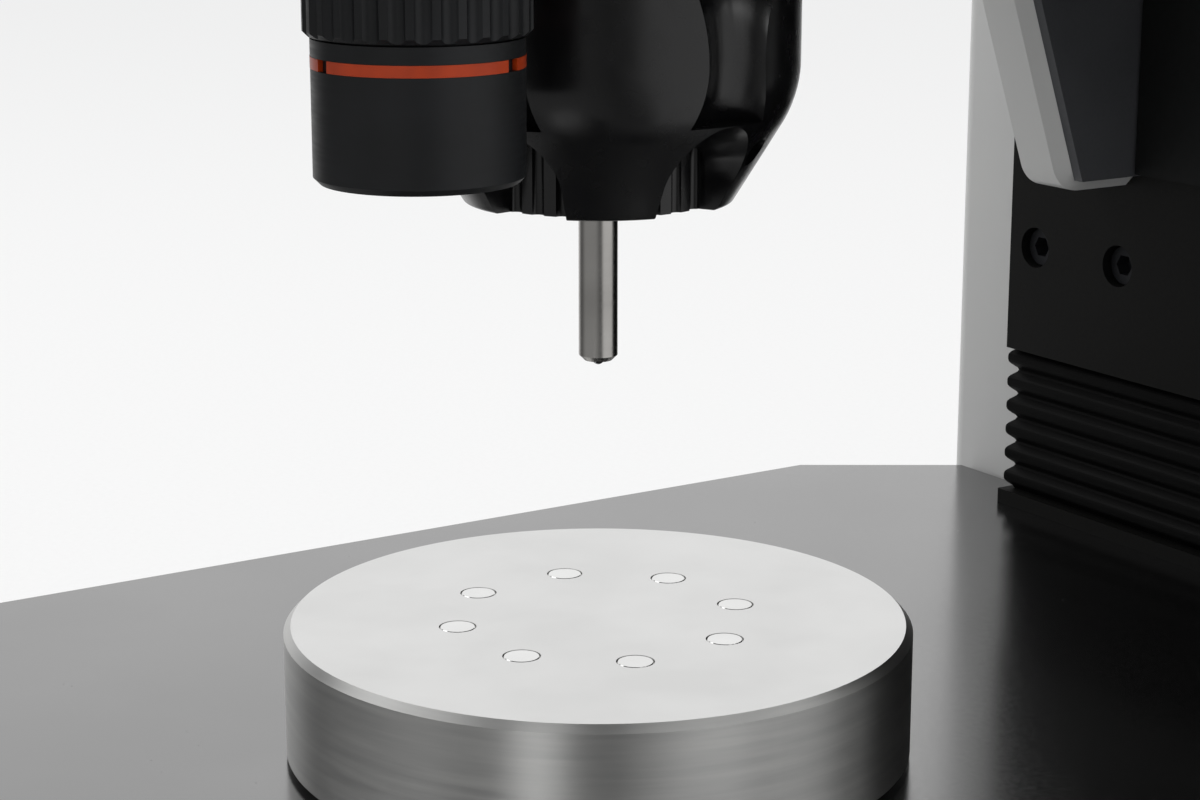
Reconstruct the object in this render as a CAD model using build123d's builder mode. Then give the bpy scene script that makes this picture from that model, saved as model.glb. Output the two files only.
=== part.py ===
"""Bench hardness tester with a motorised head, an indenter and a camera lens.

Millimetres, +Z up.  The operator stands at -Y and the column is at +Y.  Every
piece is drawn about the test axis, the line that the indenter, the anvil and the
indenter holder share, with Z = 0 on the bench.  save() then sets it over the
middle of the footprint, where the finished part has its origin.
"""
import os
from math import cos, radians, sin, tan

from build123d import *

# ---- running and seating clearances ------------------------------------------------------------
fit = 0.03            # radial clearance of a turned part in its bore
press_fit = 0.01      # radial clearance drawn between a part and the seat it is pressed into
slide_fit = 0.05      # radial clearance of a sliding part in its guide
collar_gap = 0.3      # end play of a turning collar
panel_gap = 0.5       # gap between panels that meet edge to edge
small_chamfer = 1     # broken edge of turned parts
cut_over = 1          # how far a cutter runs past the face it opens

# ---- feet and base -----------------------------------------------------------------------------
foot_height = 22
foot_edge_round = 5
foot_radius = 24
pad_height = 13
stud_radius = 6
stud_head_room = 20
locknut_width = 18
locknut_height = 6
foot_inset = 28
foot_front = -150
foot_rear = 372
boss_radius = 15
base_half_width = 147
base_front = -182
base_rear = 404
base_height = 103
base_corner = 24
base_wall = 10
deck_thickness = 15
bottom_plate_thickness = 4
bottom_plate_inset = 1
base_edge = 2
screw_hole_radius = 13
motor_hole_radius = 12
button_hole_gap = 1

# ---- work table and anvil ----------------------------------------------------------------------
table_half_width = 161
table_front = -190
table_rear = 213
table_thickness = 25
table_corner_x = 26
table_corner_y = 41
table_corner_radius = 10
table_edge = 1
anvil_radius = 65.6
anvil_thickness = 27
anvil_chamfer = 1.5
anvil_step_inset = 4
anvil_step_height = 1.5
spigot_radius = 16
spigot_length = 20
pin_radius = 3.85
pin_circle = 30
pin_count = 8
pin_depth = 10
pin_edge = 0.35
pin_phase = 27

# ---- column ------------------------------------------------------------------------------------
column_height = 775
column_half_width = 144
column_front = 215
column_rear = 400
column_skin = 3
column_corner = 6
cap_thickness = 12
guide_half_width = 98.5
guide_front = 195
bellows_set_back = 2
bellows_wall = 6
bellows_fold_depth = 2.5
lower_fold_count = 6
upper_fold_count = 24
bellows_foot_thickness = 4
bellows_post_wall = 8
bellows_rear = 250
casting_side_room = 5
casting_front = 256
casting_plate = 20
casting_depth = 62
casting_rib = 14
flange_overhang = 28
flange_thickness = 16
column_bolt_overhang = 15
column_bolt_inset = 15
column_bolt_radius = 6
column_bolt_head_radius = 9
column_bolt_head_height = 10
column_bolt_socket_radius = 5
rail_inset = 22.5
rail_width = 20
rail_depth = 20
rail_groove_radius = 2.5
rail_foot_room = 35
slot_gap = 1.5
cover_screw_inset_x = 10
cover_screw_inset_z = 30
cover_screw_radius = 2
cover_screw_head_radius = 4
cover_screw_head_height = 2.2
cover_screw_socket_radius = 1.5
vent_rows = 14
vent_pitch = 14
vent_column_pitch = 90
vent_length = 60
vent_width = 3.2
cap_edge_round = 5
guide_end_height = 20

# ---- lifting drive -----------------------------------------------------------------------------
screw_y = 238
screw_radius = 8
screw_collar_radius = 13
screw_collar_height = 5
screw_tail = 6
screw_end_length = 8
screw_end_pocket_radius = 14
screw_end_pocket_depth = 12
bearing_block_width = 52
bearing_block_height = 30
bearing_block_reach = 15
screw_pulley_radius = 20
motor_y = 352
motor_half_width = 28.5
motor_length = 79
motor_plate = 6
motor_shaft_radius = 6
motor_shaft_length = 28
motor_bore_depth = 30
motor_plate_margin = 5
motor_corner = 5
motor_pulley_radius = 16
pulley_height = 16
pulley_flange = 3
pulley_flange_thickness = 1.5
pulley_level = 82
belt_gap = 0.3
belt_thickness = 2
belt_inset = 2
nut_rise = 150
nut_wall = 7
nut_length = 42
nut_bracket_width = 44
nut_bracket_height = 10
nut_bracket_gap = 2

# ---- head: heights are above the anvil's top face ----------------------------------------------
plate_level = 16.3
plate_thickness = 24
plate_height = 370.3
plate_edge = 1
block_width = 44
block_depth = 32
block_height = 70
rail_gap = 0.3
carriage_screw_level = 45.7
carriage_screw_pitch_x = 32
carriage_screw_pitch_z = 36
upper_block_rise = 182.4
cap_screw_head_radius = 5
cap_screw_head_height = 6
cap_screw_radius = 3
cap_screw_socket = 5
cap_screw_web = 2
cap_screw_bite = 10
cap_screw_end_gap = 1
screw_recess_radius = 5.5
screw_recess_depth = 8.5
head_level = 165
hood_side_step = 2
hood_front = -168
hood_height = 222
hood_skin = 3
hood_fillet = 16
hood_chin_lean = 6
hood_chin_height = 40
hood_brow_lean = 34
floor_thickness = 4
floor_gap = 0.2
floor_front_gap = 1
floor_rear_gap = 5
arm_half_width = 46
arm_level = 227
arm_height = 70
arm_foot_rise = 4
arm_pad_depth = 4
arm_throat_rise = 10
arm_crown_run = 70
arm_crown_drop = 30
arm_pocket_length = 90
arm_pocket_margin = 13
arm_pocket_depth = 14
arm_pocket_corner = 10
cheek_inner = 47
cheek_panel_thickness = 3
cheek_thickness = 15.6
cheek_bevel = 3.3
cheek_level = 67.4
cheek_foot_y = 172
cheek_slope = 19.2
cheek_corner = 9

# ---- tool changer ------------------------------------------------------------------------------
changer_reach = 55.5
changer_radius = 86
changer_thickness = 16
changer_gap = 2.5
changer_edge = 1.5
changer_level = 162
lens_angle = -14.7
objective_angle = 195
spare_angle = 270
spare_port_radius = 15
shaft_radius = 15
bearing_radius = 26
bearing_height = 14
bearing_inset = 4
shaft_flange_radius = 28
shaft_flange_thickness = 8
shaft_collar_radius = 18
shaft_collar_height = 4
shaft_nut_radius = 20
shaft_nut_height = 13
shaft_nut_seat = 0.5

# ---- indenter holder ---------------------------------------------------------------------------
holder_level = 88.1
holder_radius = 40.3
holder_shoulder_radius = 24
holder_foot_radius = 27
holder_foot_round = 1.2
holder_top_gap = 1
holder_cone_angle = 58.5
arm_count = 5
arm_phase = -26.8
groove_axis_radius = 45.3
groove_waist_radius = 9.3
groove_top_radius = 14.3
groove_waist_level = 118.5
groove_top_level = 137
groove_foot_level = 106.6
groove_foot_flare = 3.4
pocket_half_width = 6
pocket_taper = 17.5
pocket_core_radius = 23
pocket_bite = 4
pocket_crown_rise = -6.2
flute_radius = 1.4
flute_offset = 0.4
flute_count = 3
flute_spread = 26
spindle_radius = 14
spindle_seat = 22
spindle_edge = 1
load_cell_radius = 22
load_cell_height = 18
load_cell_rise = 23
load_cell_waist = 3
load_cell_rim = 4
load_cell_taper = 2
indenter_radius = 4
indenter_level = 55
indenter_seat = 38
indenter_end_chamfer = 1.1
indenter_top_chamfer = 0.6
indenter_top_gap = 0.5
ball_radius = 1.25
ball_show = 1.05
clamp_screw_level = 100
clamp_screw_radius = 2
clamp_recess_radius = 2.9
clamp_recess_floor = 25.5
clamp_screw_length = 20.5
clamp_screw_tip_gap = 0.1
clamp_socket_radius = 1
clamp_socket_depth = 3
clamp_offset = 14
ram_radius = 12
ram_gap = 2
ram_end_round = 2
ram_inside_length = 24
actuator_width = 56
actuator_height = 62
actuator_offset = 8
actuator_corner = 5

# ---- overview lens -----------------------------------------------------------------------------
lens_level = 104.7
barrel_radius = 18.1
barrel_height = 19.4
ring_groove = 2.1
ring_groove_depth = 0.9
ring_land = 2.9
ring_arcs = 3
ring_arc_gap = 3
ring_phase = 31
ring_stand = 0.05
focus_seat_radius = 16.4
focus_ring_radius = 19.4
focus_ring_height = 27.5
focus_ring_chamfer = 0.9
focus_ring_bevel = 0.9
focus_flutes = 28
focus_flute_radius = 1.8
focus_flute_offset = 1.0
focus_rim = 2
focus_rim_gap = 0.4
lens_glass_radius = 14.3
lens_glass_set_back = 2
lens_glass_thickness = 3
lens_glass_rim = 2
lens_glass_crown = 1.6
lens_neck_radius = 15
lens_bore_radius = 11
lens_rim = 1.2
lens_rim_edge = 1.1
lens_rim_height = 1.1
neck_rise = 2
camera_width = 30
camera_height = 32
camera_fillet = 2
camera_edge = 1
objective_level = 131
objective_radius = 12
objective_nose_radius = 7.5
objective_nose_height = 9
objective_lip = 1
objective_flange = 3

# ---- controls and power inlet ------------------------------------------------------------------
control_level = 74
stop_inset = 43
stop_radius = 19
stop_bezel_radius = 22
stop_stem_radius = 10
stop_projection = 30
stop_head_height = 14
stop_head_round = 8
stop_stem_overlap = 4
bezel_thickness = 4
bezel_edge = 0.8
button_pitch = 48
start_radius = 10.5
start_bezel_radius = 14
start_projection = 7
start_edge_round = 1.5
inlet_x = -56
inlet_half_width = 30
inlet_half_height = 14
inlet_lip = 2
inlet_margin = 3
inlet_depth = 26
socket_offset = 13
socket_half_width = 12.2
socket_half_height = 8.2
socket_corner = 3
socket_depth = 16
contact_pitch = 7
contact_rise = 2.5
contact_drop = 1.5
contact_width = 2
contact_height = 4
contact_length = 12
rocker_offset = 16
rocker_half_width = 9
rocker_half_height = 6
rocker_gap = 1
rocker_side_gap = 0.5
rocker_depth = 8
rocker_room = 3
rocker_crown = 2.4
rocker_valley = 0.8
rocker_taper = 1.4
rocker_axle_radius = 1.2
rocker_axle_end = 1.8
rocker_axle_depth = 3

# ---- levels and places worked out from the sizes above -----------------------------------------
foot_x = base_half_width - foot_inset
stop_x = base_half_width - stop_inset
start_x = stop_x - button_pitch
base_top = foot_height + base_height
casting_half_width = guide_half_width - casting_side_room
rail_offset = casting_half_width - rail_inset
table_top = base_top + table_thickness
anvil_bottom = table_top + anvil_step_height
anvil_top = anvil_bottom + anvil_thickness
column_top = base_top + column_height
deck_bottom = base_top - deck_thickness
plate_bottom = anvil_top + plate_level
plate_top = plate_bottom + plate_height
plate_rear = guide_front + plate_thickness
bellows_front = guide_front + bellows_set_back
bellows_foot_top = table_top + bellows_foot_thickness
guide_end_bottom = column_top - guide_end_height
hood_half_width = guide_half_width - hood_side_step
head_bottom = anvil_top + head_level
head_top = head_bottom + hood_height
arm_bottom = anvil_top + arm_level
arm_top = arm_bottom + arm_height
changer_bottom = anvil_top + changer_level
changer_top = changer_bottom + changer_thickness
cell_bottom = changer_top + load_cell_rise
cell_top = cell_bottom + load_cell_height
holder_bottom = anvil_top + holder_level
holder_top = changer_bottom - holder_top_gap
indenter_bottom = anvil_top + indenter_level
lens_bottom = anvil_top + lens_level
lens_x = changer_reach * cos(radians(lens_angle))
lens_y = -changer_reach + changer_reach * sin(radians(lens_angle))
objective_x = changer_reach * cos(radians(objective_angle))
objective_y = -changer_reach + changer_reach * sin(radians(objective_angle))
socket_x = inlet_x - socket_offset
rocker_x = inlet_x + rocker_offset
rear_face = base_rear + inlet_lip
footprint_middle = (rear_face + rocker_crown + base_front - stop_projection) / 2
spare_x = changer_reach * cos(radians(spare_angle))
spare_y = -changer_reach + changer_reach * sin(radians(spare_angle))
row_levels = [anvil_top + carriage_screw_level + rise + row * carriage_screw_pitch_z
              for rise in (0, upper_block_rise) for row in (0, 1)]
screw_columns = [side * rail_offset + step * carriage_screw_pitch_x / 2
                 for side in (-1, 1) for step in (-1, 1)]
block_levels = [anvil_top + carriage_screw_level + carriage_screw_pitch_z / 2 + rise - block_height / 2
                for rise in (0, upper_block_rise)]


def upright(x, y):
    """Vertical sketch plane through (x, y), with local axes along X and Z."""
    return Plane(origin=(x, y, 0), x_dir=(1, 0, 0), z_dir=(0, -1, 0))


def side_plane(x):
    """Sketch plane across X, with local axes along Y and Z."""
    return Plane(origin=(x, 0, 0), x_dir=(0, 1, 0), z_dir=(1, 0, 0))


def upright_axis(x, y):
    """Vertical axis through (x, y)."""
    return Axis((x, y, 0), (0, 0, 1))


def save(piece, label):
    """Set a finished piece over the middle of the footprint, label it and write its STEP file."""
    finished = piece.part.moved(Location((0, -footprint_middle, 0)))
    finished.label = label
    export_step(finished, f"parts/{label}.step")


os.makedirs("parts", exist_ok=True)

# ==== feet ======================================================================================
foot_places = [(x, y) for x in (-foot_x, foot_x) for y in (foot_front, foot_rear)]
stud_top = deck_bottom - stud_head_room

# Round rubber-soled pads, each on the lower end of its levelling stud.
with BuildPart() as levelling_feet:
    with BuildSketch():
        with Locations(*foot_places):
            Circle(foot_radius)
    extrude(amount=pad_height)
    fillet(levelling_feet.edges().group_by(Axis.Z)[-1], foot_edge_round)
    chamfer(levelling_feet.edges().group_by(Axis.Z)[0], small_chamfer)
    with BuildSketch(Plane.XY.offset(pad_height)):
        with Locations(*foot_places):
            Circle(stud_radius)
    extrude(amount=stud_top - pad_height)
save(levelling_feet, "levelling_feet")

with BuildPart() as foot_locknuts:
    with BuildSketch(Plane.XY.offset(foot_height - locknut_height)):
        with Locations(*foot_places):
            RegularPolygon(locknut_width / 2, 6, major_radius=False)
            Circle(stud_radius + fit, mode=Mode.SUBTRACT)
    extrude(amount=locknut_height)
save(foot_locknuts, "foot_locknuts")

# ==== base ======================================================================================
base_length = base_rear - base_front
base_middle = (base_rear + base_front) / 2

with BuildPart() as base_bottom_plate:
    with BuildSketch(Plane.XY.offset(foot_height)):
        with Locations((0, base_middle)):
            RectangleRounded(2 * (base_half_width - bottom_plate_inset), base_length - 2 * bottom_plate_inset,
                             base_corner - bottom_plate_inset)
        with Locations(*foot_places):
            Circle(stud_radius + fit, mode=Mode.SUBTRACT)
    extrude(amount=bottom_plate_thickness)
save(base_bottom_plate, "base_bottom_plate")

# Hollow casting: four walls, a thick deck and a threaded boss over each foot.
cavity_bottom = foot_height + bottom_plate_thickness
with BuildPart() as base_casting:
    with BuildSketch(Plane.XY.offset(cavity_bottom)):
        with Locations((0, base_middle)):
            RectangleRounded(2 * base_half_width, base_length, base_corner)
    extrude(amount=base_top - cavity_bottom)
    chamfer(base_casting.edges().group_by(Axis.Z)[-1], base_edge)
    with BuildSketch(Plane.XY.offset(cavity_bottom)):
        with Locations((0, base_middle)):
            RectangleRounded(2 * (base_half_width - base_wall), base_length - 2 * base_wall,
                             base_corner - base_wall)
        with Locations(*foot_places):
            Circle(boss_radius, mode=Mode.SUBTRACT)
    extrude(amount=deck_bottom - cavity_bottom, mode=Mode.SUBTRACT)
    with BuildSketch(Plane.XY.offset(cavity_bottom)):
        with Locations(*foot_places):
            Circle(stud_radius + fit)
    extrude(amount=stud_top - cavity_bottom + cut_over, mode=Mode.SUBTRACT)
    with BuildSketch(Plane.XY.offset(deck_bottom)):
        with Locations((0, screw_y)):
            Circle(screw_hole_radius)
        with Locations((0, motor_y)):
            Circle(motor_hole_radius)
    extrude(amount=deck_thickness, mode=Mode.SUBTRACT)
    # Openings for the two push buttons and for the power inlet.
    with BuildSketch(Plane.XZ.offset(-base_front)):
        with Locations((stop_x, control_level)):
            Circle(stop_stem_radius + button_hole_gap)
        with Locations((start_x, control_level)):
            Circle(start_radius + button_hole_gap)
    extrude(amount=-base_wall, mode=Mode.SUBTRACT)
    with BuildSketch(Plane.XZ.offset(-base_rear)):
        with Locations((inlet_x, control_level)):
            Rectangle(2 * inlet_half_width, 2 * inlet_half_height)
    extrude(amount=base_wall, mode=Mode.SUBTRACT)
save(base_casting, "base_casting")

# ==== work table and anvil ======================================================================
# Flat black plate whose rear corners are cut back towards the column.
with BuildPart() as work_table:
    with BuildSketch(Plane.XY.offset(base_top)) as table_outline:
        with BuildLine():
            Polyline((-table_half_width, table_front),
                     (table_half_width, table_front),
                     (table_half_width, table_rear - table_corner_y),
                     (table_half_width - table_corner_x, table_rear),
                     (-table_half_width + table_corner_x, table_rear),
                     (-table_half_width, table_rear - table_corner_y),
                     close=True)
        make_face()
        fillet(table_outline.vertices().group_by(Axis.Y)[0], table_corner_radius)
    extrude(amount=table_thickness)
    chamfer(work_table.edges().group_by(Axis.Z)[-1], table_edge)
    with BuildSketch(Plane.XY.offset(base_top)):
        Circle(spigot_radius + fit)
    extrude(amount=table_thickness, mode=Mode.SUBTRACT)
save(work_table, "work_table")

# Ground disc on a smaller step, with a spigot that locates it in the table.
with BuildPart() as anvil:
    with BuildSketch(Plane.XY.offset(anvil_bottom)):
        Circle(anvil_radius)
    extrude(amount=anvil_thickness)
    chamfer(anvil.edges().group_by(Axis.Z)[-1], anvil_chamfer)
    with BuildSketch(Plane.XY.offset(table_top)):
        Circle(anvil_radius - anvil_step_inset)
    extrude(amount=anvil_step_height)
    with BuildSketch(Plane.XY.offset(table_top)):
        Circle(spigot_radius)
    extrude(amount=-spigot_length)
    chamfer(anvil.edges().group_by(Axis.Z)[0], small_chamfer)
    with BuildSketch(Plane.XY.offset(anvil_top)):
        with PolarLocations(pin_circle, pin_count, start_angle=pin_phase):
            Circle(pin_radius + slide_fit)
    extrude(amount=-pin_depth, mode=Mode.SUBTRACT)
save(anvil, "anvil")

# Hardened pins let into the anvil and ground flush with its face.
with BuildPart() as anvil_pins:
    with BuildSketch(Plane.XY.offset(anvil_top)):
        with PolarLocations(pin_circle, pin_count, start_angle=pin_phase):
            Circle(pin_radius)
    extrude(amount=-pin_depth)
    chamfer(anvil_pins.edges().group_by(Axis.Z)[-1], pin_edge)
save(anvil_pins, "anvil_pins")

# ==== column structure ==========================================================================
# Channel casting: a thick front plate that carries the rails, three ribs behind it
# and a foot flange on the deck.
casting_top = guide_end_bottom
column_bolt_places = [(side * (casting_half_width + column_bolt_overhang), casting_front + depth)
                      for side in (-1, 1) for depth in (column_bolt_inset, casting_depth - column_bolt_inset)]
with BuildPart() as column_casting:
    with BuildSketch(Plane.XY.offset(base_top)):
        with Locations((0, casting_front + casting_plate / 2)):
            Rectangle(2 * casting_half_width, casting_plate)
        with Locations((0, casting_front + casting_depth / 2)):
            Rectangle(casting_rib, casting_depth)
        for side in (-1, 1):
            with Locations((side * (casting_half_width - casting_rib / 2),
                            casting_front + casting_depth / 2)):
                Rectangle(casting_rib, casting_depth)
    extrude(amount=casting_top - base_top)
    with BuildSketch(Plane.XY.offset(base_top)):
        with Locations((0, casting_front + casting_depth / 2)):
            Rectangle(2 * (casting_half_width + flange_overhang), casting_depth)
    extrude(amount=flange_thickness)
    with BuildSketch(Plane.XY.offset(base_top)):
        with Locations(*column_bolt_places):
            Circle(column_bolt_radius)
    extrude(amount=flange_thickness, mode=Mode.SUBTRACT)
save(column_casting, "column_casting")

with BuildPart() as column_bolts:
    with BuildSketch(Plane.XY.offset(base_top)):
        with Locations(*column_bolt_places):
            Circle(column_bolt_radius - fit)
    extrude(amount=flange_thickness)
    with BuildSketch(Plane.XY.offset(base_top + flange_thickness)):
        with Locations(*column_bolt_places):
            Circle(column_bolt_head_radius)
            RegularPolygon(column_bolt_socket_radius, 6, mode=Mode.SUBTRACT)
    extrude(amount=column_bolt_head_height)
save(column_bolts, "column_bolts")

rail_bottom = base_top + rail_foot_room
with BuildPart() as guide_rails:
    with BuildSketch(Plane.XY.offset(rail_bottom)):
        for side in (-1, 1):
            with Locations((side * rail_offset, casting_front - rail_depth / 2)):
                Rectangle(rail_width, rail_depth)
                for edge in (-1, 1):
                    with Locations((edge * rail_width / 2, 0)):
                        Circle(rail_groove_radius, mode=Mode.SUBTRACT)
    extrude(amount=casting_top - rail_bottom)
save(guide_rails, "guide_rails")

# Side panels: each wraps a front corner of the column and leaves the guide slot free.
for side, label in ((-1, "column_side_left"), (1, "column_side_right")):
    with BuildPart() as column_side:
        with BuildSketch(Plane.XY.offset(base_top)) as panel:
            with BuildLine():
                Polyline((side * (guide_half_width + slot_gap), column_front),
                         (side * column_half_width, column_front),
                         (side * column_half_width, column_rear - column_skin),
                         (side * (column_half_width - column_skin), column_rear - column_skin),
                         (side * (column_half_width - column_skin), column_front + column_skin),
                         (side * (guide_half_width + slot_gap), column_front + column_skin),
                         close=True)
            make_face()
            corner = panel.vertices().group_by(Axis.Y)[0].sort_by(Axis.X)[0 if side < 0 else -1]
            fillet(corner, column_corner)
            fillet(panel.vertices().sort_by_distance((side * (column_half_width - column_skin),
                                                      column_front + column_skin))[0],
                   column_corner - column_skin)
        extrude(amount=column_height)
    save(column_side, label)

# Rear cover with two columns of vent slots, and its screws.
cover_screw_x = column_half_width - cover_screw_inset_x
cover_screw_places = [(x, z) for x in (-cover_screw_x, cover_screw_x)
                      for z in (base_top + cover_screw_inset_z, base_top + column_height / 2,
                                column_top - cover_screw_inset_z)]
with BuildPart() as rear_cover:
    with BuildSketch(Plane.XZ.offset(-(column_rear - column_skin))):
        with Locations((0, base_top + column_height / 2)):
            Rectangle(2 * column_half_width, column_height)
            with GridLocations(vent_column_pitch, vent_pitch, 2, vent_rows):
                SlotOverall(vent_length, vent_width, mode=Mode.SUBTRACT)
        with Locations(*cover_screw_places):
            Circle(cover_screw_radius + fit, mode=Mode.SUBTRACT)
    extrude(amount=-column_skin)
save(rear_cover, "rear_cover")

with BuildPart() as rear_cover_screws:
    with BuildSketch(Plane.XZ.offset(-column_rear)):
        with Locations(*cover_screw_places):
            Circle(cover_screw_head_radius)
            RegularPolygon(cover_screw_socket_radius, 6, mode=Mode.SUBTRACT)
    extrude(amount=-cover_screw_head_height)
    with BuildSketch(Plane.XZ.offset(-column_rear)):
        with Locations(*cover_screw_places):
            Circle(cover_screw_radius)
    extrude(amount=column_skin)
save(rear_cover_screws, "rear_cover_screws")

with BuildPart() as column_cap:
    with BuildSketch(Plane.XY.offset(column_top)):
        with Locations((0, (guide_front + column_rear) / 2)):
            RectangleRounded(2 * column_half_width, column_rear - guide_front, column_corner)
    extrude(amount=cap_thickness)
    fillet(column_cap.edges().group_by(Axis.Z)[-1], cap_edge_round)
save(column_cap, "column_cap")

# Black block that closes the guide unit above the upper bellows.
with BuildPart() as guide_end_block:
    with BuildSketch(Plane.XY.offset(guide_end_bottom)):
        with Locations((0, (guide_front + casting_front) / 2)):
            Rectangle(2 * guide_half_width, casting_front - guide_front)
    extrude(amount=guide_end_height)
    with BuildSketch(Plane.XY.offset(guide_end_bottom)):
        with Locations((0, casting_front + casting_depth / 2)):
            Rectangle(2 * casting_half_width, casting_depth)
    extrude(amount=guide_end_height)
    with BuildSketch(Plane.XY.offset(guide_end_bottom)):
        with Locations((0, screw_y)):
            Circle(screw_end_pocket_radius)
    extrude(amount=screw_end_pocket_depth, mode=Mode.SUBTRACT)
save(guide_end_block, "guide_end_block")


def bellows_fold(half_width, front):
    """Sketch one fold outline: a U in plan, open towards the column casting."""
    depth = bellows_rear - front
    with Locations((0, front + depth / 2)):
        Rectangle(2 * half_width, depth)
    with Locations((0, front + bellows_wall + depth / 2)):
        Rectangle(2 * (half_width - bellows_wall), depth, mode=Mode.SUBTRACT)


# Folded bellows that cover the guides below and above the carriage.
for label, low, high, folds in (("lower_bellows", bellows_foot_top, plate_bottom, lower_fold_count),
                                ("upper_bellows", plate_top, guide_end_bottom, upper_fold_count)):
    fold = (high - low) / folds
    with BuildPart() as bellows:
        with BuildSketch(Plane.XY.offset(low)):
            bellows_fold(guide_half_width - bellows_fold_depth, bellows_front + bellows_fold_depth)
        extrude(amount=high - low)
        for index in range(folds):
            with BuildSketch(Plane.XY.offset(low + (index + 0.3) * fold)):
                bellows_fold(guide_half_width, bellows_front)
            extrude(amount=fold * 0.4)
    save(bellows, label)

with BuildPart() as bellows_foot:
    with BuildSketch(Plane.XY.offset(table_top)):
        bellows_fold(guide_half_width, guide_front)
    extrude(amount=bellows_foot_thickness)
    post_front = table_rear + panel_gap
    with BuildSketch(Plane.XY.offset(base_top)):
        with Locations((0, (post_front + bellows_rear) / 2)):
            Rectangle(2 * guide_half_width, bellows_rear - post_front)
        with Locations((0, (post_front + bellows_post_wall + bellows_rear) / 2)):
            Rectangle(2 * (guide_half_width - bellows_wall), bellows_rear - post_front - bellows_post_wall,
                      mode=Mode.SUBTRACT)
    extrude(amount=table_thickness)
save(bellows_foot, "bellows_foot")

# ==== lifting drive =============================================================================
bearing_block_front = screw_y - bearing_block_reach
with BuildPart() as screw_bearing_blocks:
    for level in (base_top, guide_end_bottom - bearing_block_height):
        with BuildSketch(Plane.XY.offset(level)):
            with Locations((0, (bearing_block_front + casting_front) / 2)):
                Rectangle(bearing_block_width, casting_front - bearing_block_front)
            with Locations((0, screw_y)):
                Circle(screw_radius + slide_fit, mode=Mode.SUBTRACT)
        extrude(amount=bearing_block_height)
save(screw_bearing_blocks, "screw_bearing_blocks")

# Ball screw: journals at both ends, the lower one long enough for its pulley.
screw_bottom = pulley_level - screw_tail
screw_top = guide_end_bottom + screw_end_length
with BuildPart() as ball_screw:
    with BuildSketch(Plane.XY.offset(screw_bottom)):
        with Locations((0, screw_y)):
            Circle(screw_radius)
    extrude(amount=screw_top - screw_bottom)
    chamfer(ball_screw.edges().group_by(Axis.Z)[-1], small_chamfer)
    with BuildSketch(Plane.XY.offset(base_top + bearing_block_height + collar_gap)):
        with Locations((0, screw_y)):
            Circle(screw_collar_radius)
    extrude(amount=screw_collar_height)
save(ball_screw, "ball_screw")

flange_levels = (pulley_level, pulley_level + pulley_height - pulley_flange_thickness)
with BuildPart() as screw_pulley:
    with BuildSketch(Plane.XY.offset(pulley_level)):
        with Locations((0, screw_y)):
            Circle(screw_pulley_radius)
    extrude(amount=pulley_height)
    for level in flange_levels:
        with BuildSketch(Plane.XY.offset(level)):
            with Locations((0, screw_y)):
                Circle(screw_pulley_radius + pulley_flange)
        extrude(amount=pulley_flange_thickness)
    with BuildSketch(Plane.XY.offset(pulley_level)):
        with Locations((0, screw_y)):
            Circle(screw_radius)
    extrude(amount=pulley_height, mode=Mode.SUBTRACT)
save(screw_pulley, "screw_pulley")

# Drive motor on its plate, with the rotor shaft and pulley as a separate turning piece.
with BuildPart() as lift_motor:
    with BuildSketch(Plane.XY.offset(base_top)):
        with Locations((0, motor_y)):
            RectangleRounded(2 * (motor_half_width + motor_plate_margin),
                             2 * (motor_half_width + motor_plate_margin), motor_corner)
    extrude(amount=motor_plate)
    with BuildSketch(Plane.XY.offset(base_top + motor_plate)):
        with Locations((0, motor_y)):
            RectangleRounded(2 * motor_half_width, 2 * motor_half_width, motor_corner)
    extrude(amount=motor_length)
    with BuildSketch(Plane.XY.offset(base_top)):
        with Locations((0, motor_y)):
            Circle(motor_shaft_radius + slide_fit)
    extrude(amount=motor_plate + motor_bore_depth, mode=Mode.SUBTRACT)
save(lift_motor, "lift_motor")

with BuildPart() as motor_pulley:
    with BuildSketch(Plane.XY.offset(pulley_level)):
        with Locations((0, motor_y)):
            Circle(motor_pulley_radius)
    extrude(amount=pulley_height)
    for level in flange_levels:
        with BuildSketch(Plane.XY.offset(level)):
            with Locations((0, motor_y)):
                Circle(motor_pulley_radius + pulley_flange)
        extrude(amount=pulley_flange_thickness)
    with BuildSketch(Plane.XY.offset(pulley_level + pulley_height)):
        with Locations((0, motor_y)):
            Circle(motor_shaft_radius)
    extrude(amount=base_top + motor_plate + motor_shaft_length - pulley_level - pulley_height)
save(motor_pulley, "motor_pulley")


def belt_run(grow):
    """Corners of the area between the pulleys, inside a belt that stands off them by grow."""
    lean = (screw_pulley_radius - motor_pulley_radius) / (motor_y - screw_y)
    straight = (1 - lean ** 2) ** 0.5
    wide = screw_pulley_radius + grow
    narrow = motor_pulley_radius + grow
    return [(-wide * straight, screw_y + wide * lean),
            (wide * straight, screw_y + wide * lean),
            (narrow * straight, motor_y + narrow * lean),
            (-narrow * straight, motor_y + narrow * lean)]


with BuildPart() as drive_belt:
    for grow, mode in ((belt_gap + belt_thickness, Mode.ADD), (belt_gap, Mode.SUBTRACT)):
        with BuildSketch(Plane.XY.offset(pulley_level + belt_inset)):
            with BuildLine():
                Polyline(*belt_run(grow), close=True)
            make_face()
            with Locations((0, screw_y)):
                Circle(screw_pulley_radius + grow)
            with Locations((0, motor_y)):
                Circle(motor_pulley_radius + grow)
        extrude(amount=pulley_height - 2 * belt_inset, mode=mode)
save(drive_belt, "drive_belt")

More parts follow.
